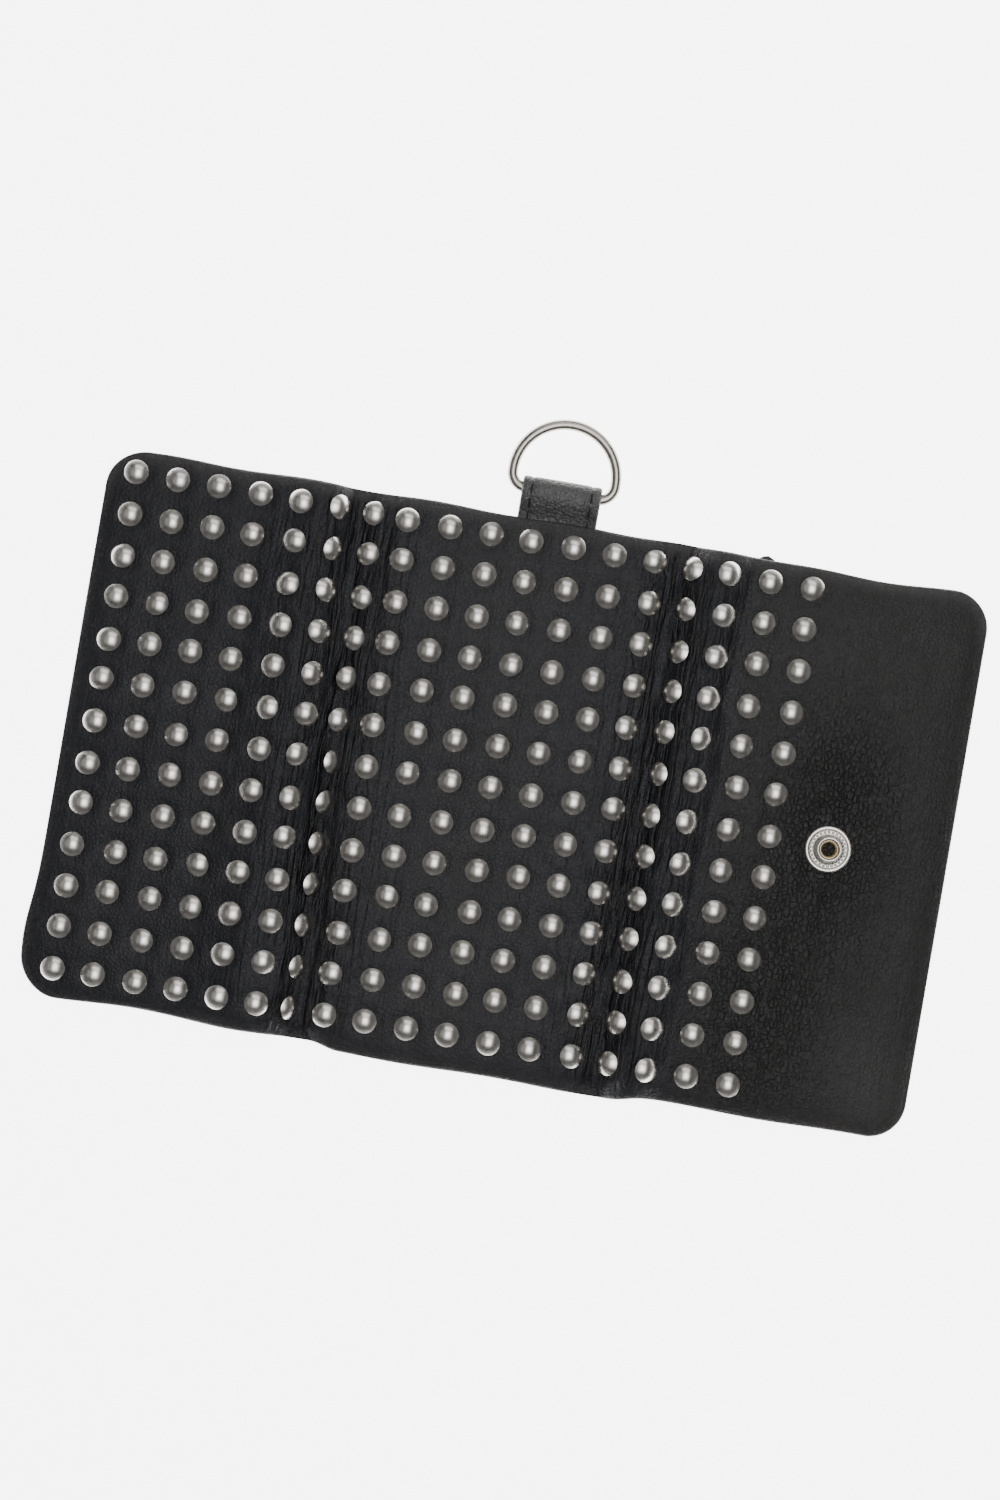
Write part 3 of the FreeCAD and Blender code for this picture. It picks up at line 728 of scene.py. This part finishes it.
for stretch in STRETCHES:
    left_body, right_body, start, stop = stretch[:4]
    lining = lining_stretch(f"lining_{left_body}_to_{right_body}", start, stop)
    bend_over(lining, stretch)
    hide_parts(f"{left_body}_lining", f"{right_body}_lining")


# ---------------------------------------------------------------- geometry nodes

class Recipe:
    """A Geometry Nodes tree with named inputs, ended by Realize Instances."""

    def __init__(self, name, sizes):
        self.tree = bpy.data.node_groups.new(name, "GeometryNodeTree")
        faces = self.tree.interface
        faces.new_socket("Geometry", in_out="INPUT", socket_type="NodeSocketGeometry")
        faces.new_socket("Geometry", in_out="OUTPUT", socket_type="NodeSocketGeometry")
        self.identifiers = {}
        for key in sizes:
            kind = "NodeSocketInt" if key == "Seed" else "NodeSocketFloat"
            made = faces.new_socket(key, in_out="INPUT", socket_type=kind)
            self.identifiers[key] = made.identifier
        self.start = self.tree.nodes.new("NodeGroupInput")
        self.sizes = sizes

    def node(self, kind, settings=None, sockets=None):
        made = self.tree.nodes.new(kind)
        for key, value in (settings or {}).items():
            setattr(made, key, value)
        for place, value in (sockets or {}).items():
            if isinstance(value, bpy.types.NodeSocket):
                self.tree.links.new(value, made.inputs[place])
            else:
                made.inputs[place].default_value = value
        return made

    def end(self, geometry, material):
        solid = self.node("GeometryNodeRealizeInstances", {}, {"Geometry": geometry})
        painted = self.node("GeometryNodeSetMaterial", {},
                            {"Geometry": solid.outputs[0], "Material": material})
        finish = self.tree.nodes.new("NodeGroupOutput")
        self.tree.links.new(painted.outputs[0], finish.inputs[0])

    def make(self, name, points, directions):
        """A plain mesh of the recipe on points, each with a direction to stand along."""
        seed_mesh = bpy.data.meshes.new(f"{name}_places")
        seed_mesh.from_pydata([tuple(v * MM for v in point) for point in points], [], [])
        up = seed_mesh.attributes.new("up", "FLOAT_VECTOR", "POINT")
        up.data.foreach_set("vector", np.asarray(directions, dtype=np.float32).reshape(-1))
        holder = bpy.data.objects.new(f"{name}_places", seed_mesh)
        bpy.context.collection.objects.link(holder)
        modifier = holder.modifiers.new("recipe", "NODES")
        modifier.node_group = self.tree
        for key, value in self.sizes.items():
            modifier[self.identifiers[key]] = value
        bpy.context.view_layer.update()
        ready = holder.evaluated_get(bpy.context.evaluated_depsgraph_get())
        mesh = bpy.data.meshes.new_from_object(ready)
        holder.modifiers.clear()
        bpy.data.objects.remove(holder)
        mesh.name = name
        made = bpy.data.objects.new(name, mesh)
        bpy.context.collection.objects.link(made)
        return made


def stud_recipe():
    """A low domed stud, its rim sunk a little, on each point and along the point's up."""
    recipe = Recipe("stud_rows", {
        "Radius": (STUD_RADIUS + 0.04) * MM, "Rise": (STUD_RISE + STUD_SINK) * MM,
        "Sink": STUD_SINK * MM, "Crown": 1.9, "Lean": math.radians(7.0), "Seed": 5,
    })
    size = recipe.start.outputs
    ball = recipe.node("GeometryNodeMeshUVSphere", {},
                       {"Segments": 24, "Rings": 8, "Radius": 1.0})
    height = recipe.node("ShaderNodeSeparateXYZ", {}, {0: recipe.node(
        "GeometryNodeInputPosition").outputs[0]})
    low = recipe.node("FunctionNodeCompare", {"data_type": "FLOAT", "operation": "LESS_THAN"},
                      {0: height.outputs[2], 1: -0.1})
    dome = recipe.node("GeometryNodeDeleteGeometry", {"domain": "POINT"},
                       {"Geometry": ball.outputs["Mesh"], "Selection": low.outputs[0]})
    flatter = recipe.node("ShaderNodeMath", {"operation": "POWER"},
                          {0: height.outputs[2], 1: size["Crown"]})
    crowned = recipe.node("ShaderNodeCombineXYZ", {},
                          {0: height.outputs[0], 1: height.outputs[1], 2: flatter.outputs[0]})
    dome = recipe.node("GeometryNodeSetPosition", {},
                       {"Geometry": dome.outputs[0], "Position": crowned.outputs[0]})
    scale = recipe.node("ShaderNodeCombineXYZ", {},
                        {0: size["Radius"], 1: size["Radius"], 2: size["Rise"]})
    down = recipe.node("ShaderNodeMath", {"operation": "MULTIPLY"}, {0: size["Sink"], 1: -1.0})
    sunk = recipe.node("ShaderNodeCombineXYZ", {}, {2: down.outputs[0]})
    placed = recipe.node("GeometryNodeTransform", {}, {
        "Geometry": dome.outputs[0], "Translation": sunk.outputs[0], "Scale": scale.outputs[0]})
    stud = recipe.node("GeometryNodeSetShadeSmooth", {}, {"Geometry": placed.outputs[0]})
    standing = stand_on_points(recipe, stud.outputs[0])
    recipe.end(standing, NICKEL)
    return recipe


def stand_on_points(recipe, shape):
    """Stands a shape on every point along its up direction, leaning a little."""
    size = recipe.start.outputs
    up = recipe.node("GeometryNodeInputNamedAttribute", {"data_type": "FLOAT_VECTOR"},
                     {"Name": "up"})
    facing = recipe.node("FunctionNodeAlignRotationToVector", {"axis": "Z"},
                         {"Vector": up.outputs[0]})
    back = recipe.node("ShaderNodeMath", {"operation": "MULTIPLY"}, {0: size["Lean"], 1: -1.0})
    low = recipe.node("ShaderNodeCombineXYZ", {}, {0: back.outputs[0], 1: back.outputs[0]})
    high = recipe.node("ShaderNodeCombineXYZ", {}, {0: size["Lean"], 1: size["Lean"]})
    lean = recipe.node("FunctionNodeRandomValue", {"data_type": "FLOAT_VECTOR"},
                       {"Min": low.outputs[0], "Max": high.outputs[0], "Seed": size["Seed"]})
    turn = recipe.node("FunctionNodeEulerToRotation", {}, {0: lean.outputs[0]})
    leaning = recipe.node("FunctionNodeRotateRotation", {"rotation_space": "LOCAL"},
                          {0: facing.outputs[0], 1: turn.outputs[0]})
    placed = recipe.node("GeometryNodeInstanceOnPoints", {}, {
        "Points": size["Geometry"], "Instance": shape, "Rotation": leaning.outputs[0]})
    return placed.outputs[0]


def face_normal(x, y):
    """The outer face's upward direction at a point, over a stud's breadth."""
    reach = 1.6
    slope_x = (face_height(x + reach, y) - face_height(x - reach, y)) / (2 * reach)
    slope_y = (face_height(x, y + reach) - face_height(x, y - reach)) / (2 * reach)
    normal = Vector((-slope_x, -slope_y, 1.0))
    return normal.normalized()


LOWEST_STUD = FACE - 0.7


def stud_direction(x, y):
    """Where a stud faces; those beside the left valley lean into it, more so lower down."""
    direction = face_normal(x, y)
    if LEFT_MIDDLE < x < LEFT_INNER:
        lower_part = float(smoothstep(np.array(-y), -25.0, 2.0))
        direction.x = max(direction.x, 0.85 * lower_part)
    return direction.normalized()


def add_studs():
    recipe = stud_recipe()
    for body, places in STUDS.items():
        points, directions = [], []
        for x, y in places:
            around = [face_height(x + 2.2 * math.cos(k), y + 2.2 * math.sin(k)) for k in range(6)]
            points.append((x, y, max(float(np.mean(around)), LOWEST_STUD)))
            directions.append(stud_direction(x, y))
        studs = recipe.make(f"dome_studs_{body}", points, directions)
        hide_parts(f"{body}_studs")
        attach(studs, body)


add_studs()


# ---------------------------------------------------------------- the snap

def rounded(profile, radius_from, radius_to, height_from, height_to, steps=6):
    """Adds a quarter round from one (radius, height) to another."""
    for k in range(1, steps + 1):
        turn = math.pi / 2 * k / steps
        profile.append((
            radius_from + (radius_to - radius_from) * (1 - math.cos(turn)),
            height_from + (height_to - height_from) * math.sin(turn),
        ))
    return profile


def snap_parts():
    """The snap's flange and hollow post, its beads, and the barrel inside the post."""
    base = float(face_height(np.array(SNAP_X), np.array(0.0)))
    floor = FACE
    flange = base + 0.55
    post_top = SNAP_HIGH[2]
    profile = [(2.0, floor - 0.6), (SNAP_RADIUS - 0.25, floor - 0.6), (SNAP_RADIUS, base + 0.05)]
    rounded(profile, SNAP_RADIUS, SNAP_RADIUS - 0.45, base + 0.05, flange)
    profile += [(4.15, flange - 0.02), (4.0, flange - 0.16), (3.1, flange - 0.16), (2.95, flange)]
    profile += [(2.72, flange + 0.12), (2.5, flange + 0.5), (2.45, post_top - 0.8)]
    profile += [(2.6, post_top - 0.45), (2.6, post_top - 0.25)]
    rounded(profile, 2.6, 2.3, post_top - 0.25, post_top)
    profile += [(2.1, post_top - 0.06), (2.0, post_top - 0.3), (2.0, floor - 0.6)]
    post = lathe("snap_flange_and_post", (SNAP_X, 0.0), profile, NICKEL, 72)
    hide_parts("snap_stud")
    barrel_top = node_box("snap_eyelet")[1][2]
    barrel_low = node_box("snap_eyelet")[0][2]
    inner = [(1.55, barrel_low), (4.4, barrel_low), (4.5, barrel_low + 0.15),
             (4.4, barrel_low + 0.3), (1.9, barrel_low + 0.3), (1.9, barrel_top - 0.3)]
    rounded(inner, 1.98, 1.75, barrel_top - 0.15, barrel_top)
    inner += [(1.6, barrel_top - 0.12), (1.5, barrel_top - 0.5), (1.4, barrel_top - 0.55),
              (1.38, barrel_low)]
    barrel = lathe("snap_barrel", (SNAP_X, 0.0), inner + [inner[0]], BRASS, 48)
    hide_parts("snap_eyelet")
    plug = lathe("snap_barrel_floor", (SNAP_X, 0.0),
                 [(0, barrel_low + 0.1), (1.45, barrel_low + 0.1), (1.45, barrel_low + 0.3),
                  (0, barrel_low + 0.3)], BRASS, 32)
    for piece, material_slot in ((post, "polished_nickel"), (barrel, "brass"), (plug, "brass")):
        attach(piece, "right_flap")
    add_beads(flange - 0.18)


def bead_recipe():
    recipe = Recipe("bead_ring", {"Bead": 0.32 * MM, "Lean": 0.0, "Seed": 3})
    size = recipe.start.outputs
    bead = recipe.node("GeometryNodeMeshIcoSphere", {}, {"Radius": size["Bead"], "Subdivisions": 2})
    bead = recipe.node("GeometryNodeSetShadeSmooth", {}, {"Geometry": bead.outputs[0]})
    recipe.end(stand_on_points(recipe, bead.outputs[0]), NICKEL)
    return recipe


def add_beads(height):
    """A plain ring of raised beads round the flange."""
    count = 26
    points = [
        (SNAP_X + 3.55 * math.cos(2 * math.pi * k / count),
         3.55 * math.sin(2 * math.pi * k / count), height)
        for k in range(count)
    ]
    beads = bead_recipe().make("snap_beads", points, [(0.0, 0.0, 1.0)] * count)
    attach(beads, "right_flap")


snap_parts()


# ---------------------------------------------------------------- the ring and its tab

def swept(name, centres, sideways, upwards, ring, material, closed):
    """A ring of (side, up) offsets carried along a line of centres."""
    points, faces = [], []
    size = len(ring)
    for centre, side, up in zip(centres, sideways, upwards):
        for across, over in ring:
            points.append(tuple(Vector(centre) + Vector(side) * across + Vector(up) * over))
    count = len(centres)
    for i in range(count if closed else count - 1):
        after = (i + 1) % count
        for k in range(size):
            following = (k + 1) % size
            faces.append((i * size + k, i * size + following,
                          after * size + following, after * size + k))
    if not closed:
        faces.append(tuple(reversed(range(size))))
        faces.append(tuple(range((count - 1) * size, count * size)))
    return make_mesh(name, points, faces, material)


RING_LOW, RING_HIGH = node_box("d_ring")
BAR_X, BAR_Y, BAR_Z = joint_place("d_ring_swing")
WIRE = 1.1


def ring_line():
    """Points of the ring's centre line with the way out of the ring at each."""
    reach = (RING_HIGH[0] - RING_LOW[0]) / 2 - WIRE
    corner = 3.2
    shoulder = corner + 0.45
    line = []
    for k in range(7):
        line.append(((reach - corner) * (k / 3.0 - 1.0), 0.0, (0.0, -1.0)))
    for k in range(1, 9):
        turn = math.pi / 2 * k / 8
        line.append((reach - corner + corner * math.sin(turn), corner - corner * math.cos(turn),
                     (math.sin(turn), -math.cos(turn))))
    for k in range(1, 40):
        turn = math.pi * k / 40
        line.append((reach * math.cos(turn), shoulder + reach * math.sin(turn),
                     (math.cos(turn), math.sin(turn))))
    for k in range(8):
        turn = math.pi / 2 * (1 - k / 8)
        line.append((-reach + corner - corner * math.sin(turn), corner - corner * math.cos(turn),
                     (-math.sin(turn), -math.cos(turn))))
    return line


def add_ring():
    line = ring_line()
    centres = [(BAR_X + x, BAR_Y + y, BAR_Z) for x, y, _ in line]
    outwards = [(out[0], out[1], 0.0) for _, _, out in line]
    upwards = [(0.0, 0.0, 1.0)] * len(line)
    round_wire = [(WIRE * math.cos(2 * math.pi * k / 20), WIRE * math.sin(2 * math.pi * k / 20))
                  for k in range(20)]
    ring = swept("wire_d_ring", centres, outwards, upwards, round_wire, SHADED_RING_NICKEL, True)
    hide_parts("d_ring")
    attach(ring, "d_ring")


TAB_LOW, TAB_HIGH = node_box("ring_tab")
TAB_HALF = (TAB_HIGH[0] - TAB_LOW[0]) / 2
TAB_X = (TAB_HIGH[0] + TAB_LOW[0]) / 2
TAB_THICK = 0.95
STITCH_INSET = 2.0


def tab_line():
    """The strap's middle line in (y, z), from its upper tail round the bar and back."""
    bend = WIRE + 0.25 + TAB_THICK / 2
    upper_tail = (TAB_LOW[1] + 0.2, FACE - LEATHER - 0.35)
    lower_tail = (TAB_LOW[1] + 0.2, FACE - LEATHER - 0.85)
    line = []
    for k in range(26):
        part = k / 25.0
        y = upper_tail[0] + (BAR_Y - upper_tail[0]) * part
        rise = float(smoothstep(np.array(y), HALF_HEIGHT - 0.8, BAR_Y - 0.6))
        line.append((y, upper_tail[1] + (BAR_Z + bend - upper_tail[1]) * rise))
    for k in range(1, 20):
        turn = math.pi / 2 - math.pi * k / 20
        line.append((BAR_Y + (bend + 0.25) * math.cos(turn), BAR_Z + bend * math.sin(turn)))
    for k in range(26):
        part = k / 25.0
        y = BAR_Y + (lower_tail[0] - BAR_Y) * part
        rise = 1.0 - float(smoothstep(np.array(y), HALF_HEIGHT - 0.8, BAR_Y - 0.6))
        line.append((y, BAR_Z - bend + (lower_tail[1] - BAR_Z + bend) * rise))
    return line


def tab_ring():
    """The strap's section: flat faces with round skived sides and a slight dish."""
    half = TAB_THICK / 2
    ring = []
    for k in range(41):
        across = (TAB_HALF - half) * (1.0 - k / 20.0)
        channel = 0.20 * math.exp(-((abs(across) - TAB_HALF + STITCH_INSET) / 0.35) ** 2)
        padding = 0.12 * math.cos(0.5 * math.pi * across / TAB_HALF) ** 0.5
        ring.append((across, half + padding - channel))
    for k in range(1, 6):
        turn = math.pi / 2 + math.pi * k / 6
        ring.append((-TAB_HALF + half + half * math.cos(turn), half * math.sin(turn)))
    for k in range(17):
        ring.append(((TAB_HALF - half) * (k / 8.0 - 1.0), -half))
    for k in range(1, 6):
        turn = -math.pi / 2 + math.pi * k / 6
        ring.append((TAB_HALF - half + half * math.cos(turn), half * math.sin(turn)))
    return ring


def tab_frames():
    """Centres, sideways and outward directions along the strap."""
    line = tab_line()
    centres, sideways, outwards = [], [], []
    for k, (y, z) in enumerate(line):
        before = line[max(k - 1, 0)]
        after = line[min(k + 1, len(line) - 1)]
        along = Vector((0.0, after[0] - before[0], after[1] - before[1])).normalized()
        out = Vector((0.0, -along.z, along.y))
        centres.append((TAB_X, y, z))
        sideways.append((-1.0, 0.0, 0.0))
        outwards.append(out)
    return centres, sideways, outwards


def stitch_recipe(name, length, width):
    """A short rounded stitch on each point, lying along the point's up."""
    recipe = Recipe(name, {
        "Length": length * MM, "Width": width * MM, "Lean": math.radians(3.0), "Seed": 9})
    size = recipe.start.outputs
    ball = recipe.node("GeometryNodeMeshUVSphere", {}, {"Segments": 8, "Rings": 6, "Radius": 0.5})
    scale = recipe.node("ShaderNodeCombineXYZ", {},
                        {0: size["Width"], 1: size["Width"], 2: size["Length"]})
    shape = recipe.node("GeometryNodeTransform", {},
                        {"Geometry": ball.outputs[0], "Scale": scale.outputs[0]})
    smooth = recipe.node("GeometryNodeSetShadeSmooth", {}, {"Geometry": shape.outputs[0]})
    recipe.end(stand_on_points(recipe, smooth.outputs[0]), THREAD)
    return recipe


def add_tab():
    centres, sideways, outwards = tab_frames()
    tab = swept("folded_tab", centres, sideways, outwards, tab_ring(), TAB_LEATHER, False)
    heights = np.array([corner.co.y / MM for corner in tab.data.vertices])
    # Painted highlight: the tab is painted paler towards the bar, where it curves up into the light;
    # the rest holds a little wear.
    upper_part = smoothstep(heights, HALF_HEIGHT + 0.5, BAR_Y - 1.0)
    maps = {"crease": 0.1, "crackle": 0.35, "warmth": 0.3, "wear": 0.15 + 0.75 * upper_part}
    for map_name, value in maps.items():
        add_map(tab, map_name, value + 0.0 * heights)
    points, directions = [], []
    travelled, next_stitch = 0.0, 3.2
    for before, after, out in zip(centres, centres[1:], outwards):
        step = Vector(after) - Vector(before)
        travelled += step.length
        if travelled >= next_stitch and after[1] < BAR_Y + 2.0 and after[2] > BAR_Z:
            for side in (-1, 1):
                spot = Vector(after) + Vector(out) * (TAB_THICK / 2 - 0.02)
                points.append((spot.x + side * (TAB_HALF - STITCH_INSET), spot.y, spot.z))
                directions.append(step.normalized())
            next_stitch += 2.9
    thread = stitch_recipe("tab_stitch", 2.5, 0.45).make("tab_stitches", points, directions)
    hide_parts("ring_tab")
    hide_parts("ring_tab_stitches")
    for piece in (tab, thread):
        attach(piece, "back")


add_ring()
add_tab()


# ---------------------------------------------------------------- the inside

def inner_wave(x, y):
    """The gentle lift that all the inner layers share."""
    return 0.16 + 0.07 * np.sin(x / 9.0 + 0.5 * np.sin(y / 12.0)) + 0.05 * np.sin(y / 10.0 + x / 23.0)


def edge_stitches(low, high, radii, sides, height):
    """Stitches along chosen sides of a sheet's lower face, a little in from the edge."""
    inset, pitch = 1.8, 3.1
    points, directions = [], []
    for side in sides:
        along = 0 if side in ("top", "bottom") else 1
        level = {"top": high[1] - inset, "bottom": low[1] + inset,
                 "left": low[0] + inset, "right": high[0] - inset}[side]
        from_end = max(inset + 0.8, max(radii) if along else inset + 0.8)
        start, stop = low[along] + from_end, high[along] - from_end
        if along == 0:
            start = low[0] + max(radii[0], from_end)
            stop = high[0] - max(radii[1], from_end)
        count = max(int((stop - start) / pitch), 1)
        for k in range(count + 1):
            spot = start + (stop - start) * k / count
            x, y = (spot, level) if along == 0 else (level, spot)
            points.append((x, y, height + float(inner_wave(x, y))))
            directions.append((1.0, 0.0, 0.0) if along == 0 else (0.0, 1.0, 0.0))
    return points, directions


def inner_layer(node, body, radii, sides, hem=None):
    """A leather panel or pocket of the inside, with turned edges and its stitching."""
    low, high = node_box(node)
    x, y, depth = sheet_grid(low[:2], high[:2], radii, 1.0)
    thick = high[2] - low[2]
    fall = turned(depth, thick)
    wave = inner_wave(x, y)
    under = low[2] + wave + fall
    if hem:
        from_hem = high[1] - y if hem == "top" else y - low[1]
        under = under + 0.10 * bell(from_hem, 7.0, 0.5)
    if node == "right_flap_inner_panel":
        y = y + TIP_HEIGHT * bell(x, TIP_X, 1.8) * smoothstep(y, high[1] - 4.0, high[1])
    piece, _ = two_sided_sheet(
        f"lined_{node}", x, y, high[2] + wave - fall, under, depth == 0.0, INNER_LEATHER)
    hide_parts(node)
    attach(piece, body)
    points, directions = edge_stitches(low, high, radii, sides, low[2] + 0.1)
    return points, directions


ROUND = CORNER - 1.6
TIP_X = RIGHT_OUTER + 10.4
TIP_HEIGHT = 1.4
INNER_LAYERS = [
    ("back_inner_panel", "back", (0.0, 0.0), ("top",), None),
    ("left_flap_inner_panel", "left_flap", (ROUND, 0.0), (), None),
    ("right_flap_inner_panel", "right_flap", (0.0, ROUND), ("top",), None),
    ("back_rear_card_pocket", "back", (0.0, 0.0), ("top",), "top"),
    ("back_front_card_pocket", "back", (0.0, 0.0), ("left", "bottom", "right", "top"), "top"),
    ("right_flap_rear_card_pocket", "right_flap", (0.0, ROUND), ("top",), "top"),
    ("right_flap_front_card_pocket", "right_flap", (0.0, ROUND),
     ("left", "bottom", "right", "top"), "top"),
    ("left_flap_upper_pocket", "left_flap", (ROUND, 0.0),
     ("left", "top", "right", "bottom"), "bottom"),
    ("left_flap_lower_pocket", "left_flap", (ROUND, 0.0),
     ("left", "bottom", "right", "top"), "top"),
]


def add_inside():
    recipe = stitch_recipe("inner_stitch", 2.3, 0.34)
    rows = {}
    for node, body, radii, sides, hem in INNER_LAYERS:
        points, directions = inner_layer(node, body, radii, sides, hem)
        row = rows.setdefault(body, ([], []))
        row[0].extend(points)
        row[1].extend(directions)
    for body, (points, directions) in rows.items():
        thread = recipe.make(f"pocket_stitches_{body}", points, directions)
        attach(thread, body)


def finish_socket():
    """The snap's lower half keeps its own shape and gets its metals."""
    metals = {"snap_socket": NICKEL, "snap_socket_washer": BRASS, "snap_spring": STEEL}
    for node, metal in metals.items():
        solid = frame["nodes"][node]
        for place in solid.material_slots:
            place.material = metal


add_inside()
finish_socket()


# ---------------------------------------------------------------- floor and lights

def add_floor():
    side = 3000.0
    floor = make_mesh("floor", [(-side, -side, -0.05), (side, -side, -0.05),
                                (side, side, -0.05), (-side, side, -0.05)],
                      [(0, 1, 2, 3)], floor_finish(), smooth=False)


def add_softbox(name, place, aim, width, height, brightness):
    """A rectangular soft light; brightness is what its face shows, 1 being plain white."""
    data = bpy.data.lights.new(name, "AREA")
    data.shape = "RECTANGLE"
    data.size = width * MM
    data.size_y = height * MM
    data.energy = brightness * math.pi * data.size * data.size_y
    lamp = bpy.data.objects.new(name, data)
    bpy.context.collection.objects.link(lamp)
    lamp.location = Vector(place) * MM
    lamp.rotation_euler = (Vector(aim) - Vector(place)).to_track_quat("-Z", "Y").to_euler()


def add_world():
    world = bpy.data.worlds.new("studio")
    world.use_nodes = True
    background = world.node_tree.nodes["Background"]
    background.inputs["Color"].default_value = (1.0, 1.0, 1.0, 1.0)
    background.inputs["Strength"].default_value = 0.06
    bpy.context.scene.world = world


add_floor()
add_world()
CEILING = 760.0
OVERHEAD = {
    "wide": (110.0, 720.0, 1000.0, 0.65), "inner": (110.0, 560.0, 760.0, 1.0),
    "core": (100.0, 350.0, 480.0, 3.0), "left": (-620.0, 420.0, 900.0, 0.35),
}
for drop, (name, (x, width, length, brightness)) in enumerate(OVERHEAD.items()):
    height = CEILING - 4.0 * drop
    add_softbox(f"{name}_softbox", (x, 0.0, height), (x, 0.0, 0.0), width, length, brightness)
add_softbox("far_softbox", (60.0, 640.0, 640.0), (0.0, 40.0, 0.0), 800.0, 300.0, 2.0)
WALLS = {"left": (-1, 0, 0.12), "right": (1, 0, 0.12), "near": (0, -1, 0.15), "far": (0, 1, 0.2)}
for side, (x, y, brightness) in WALLS.items():
    add_softbox(f"{side}_wall", (x * 1200.0, y * 1200.0, 330.0), (0.0, 0.0, 330.0),
                2000.0, 640.0, brightness)
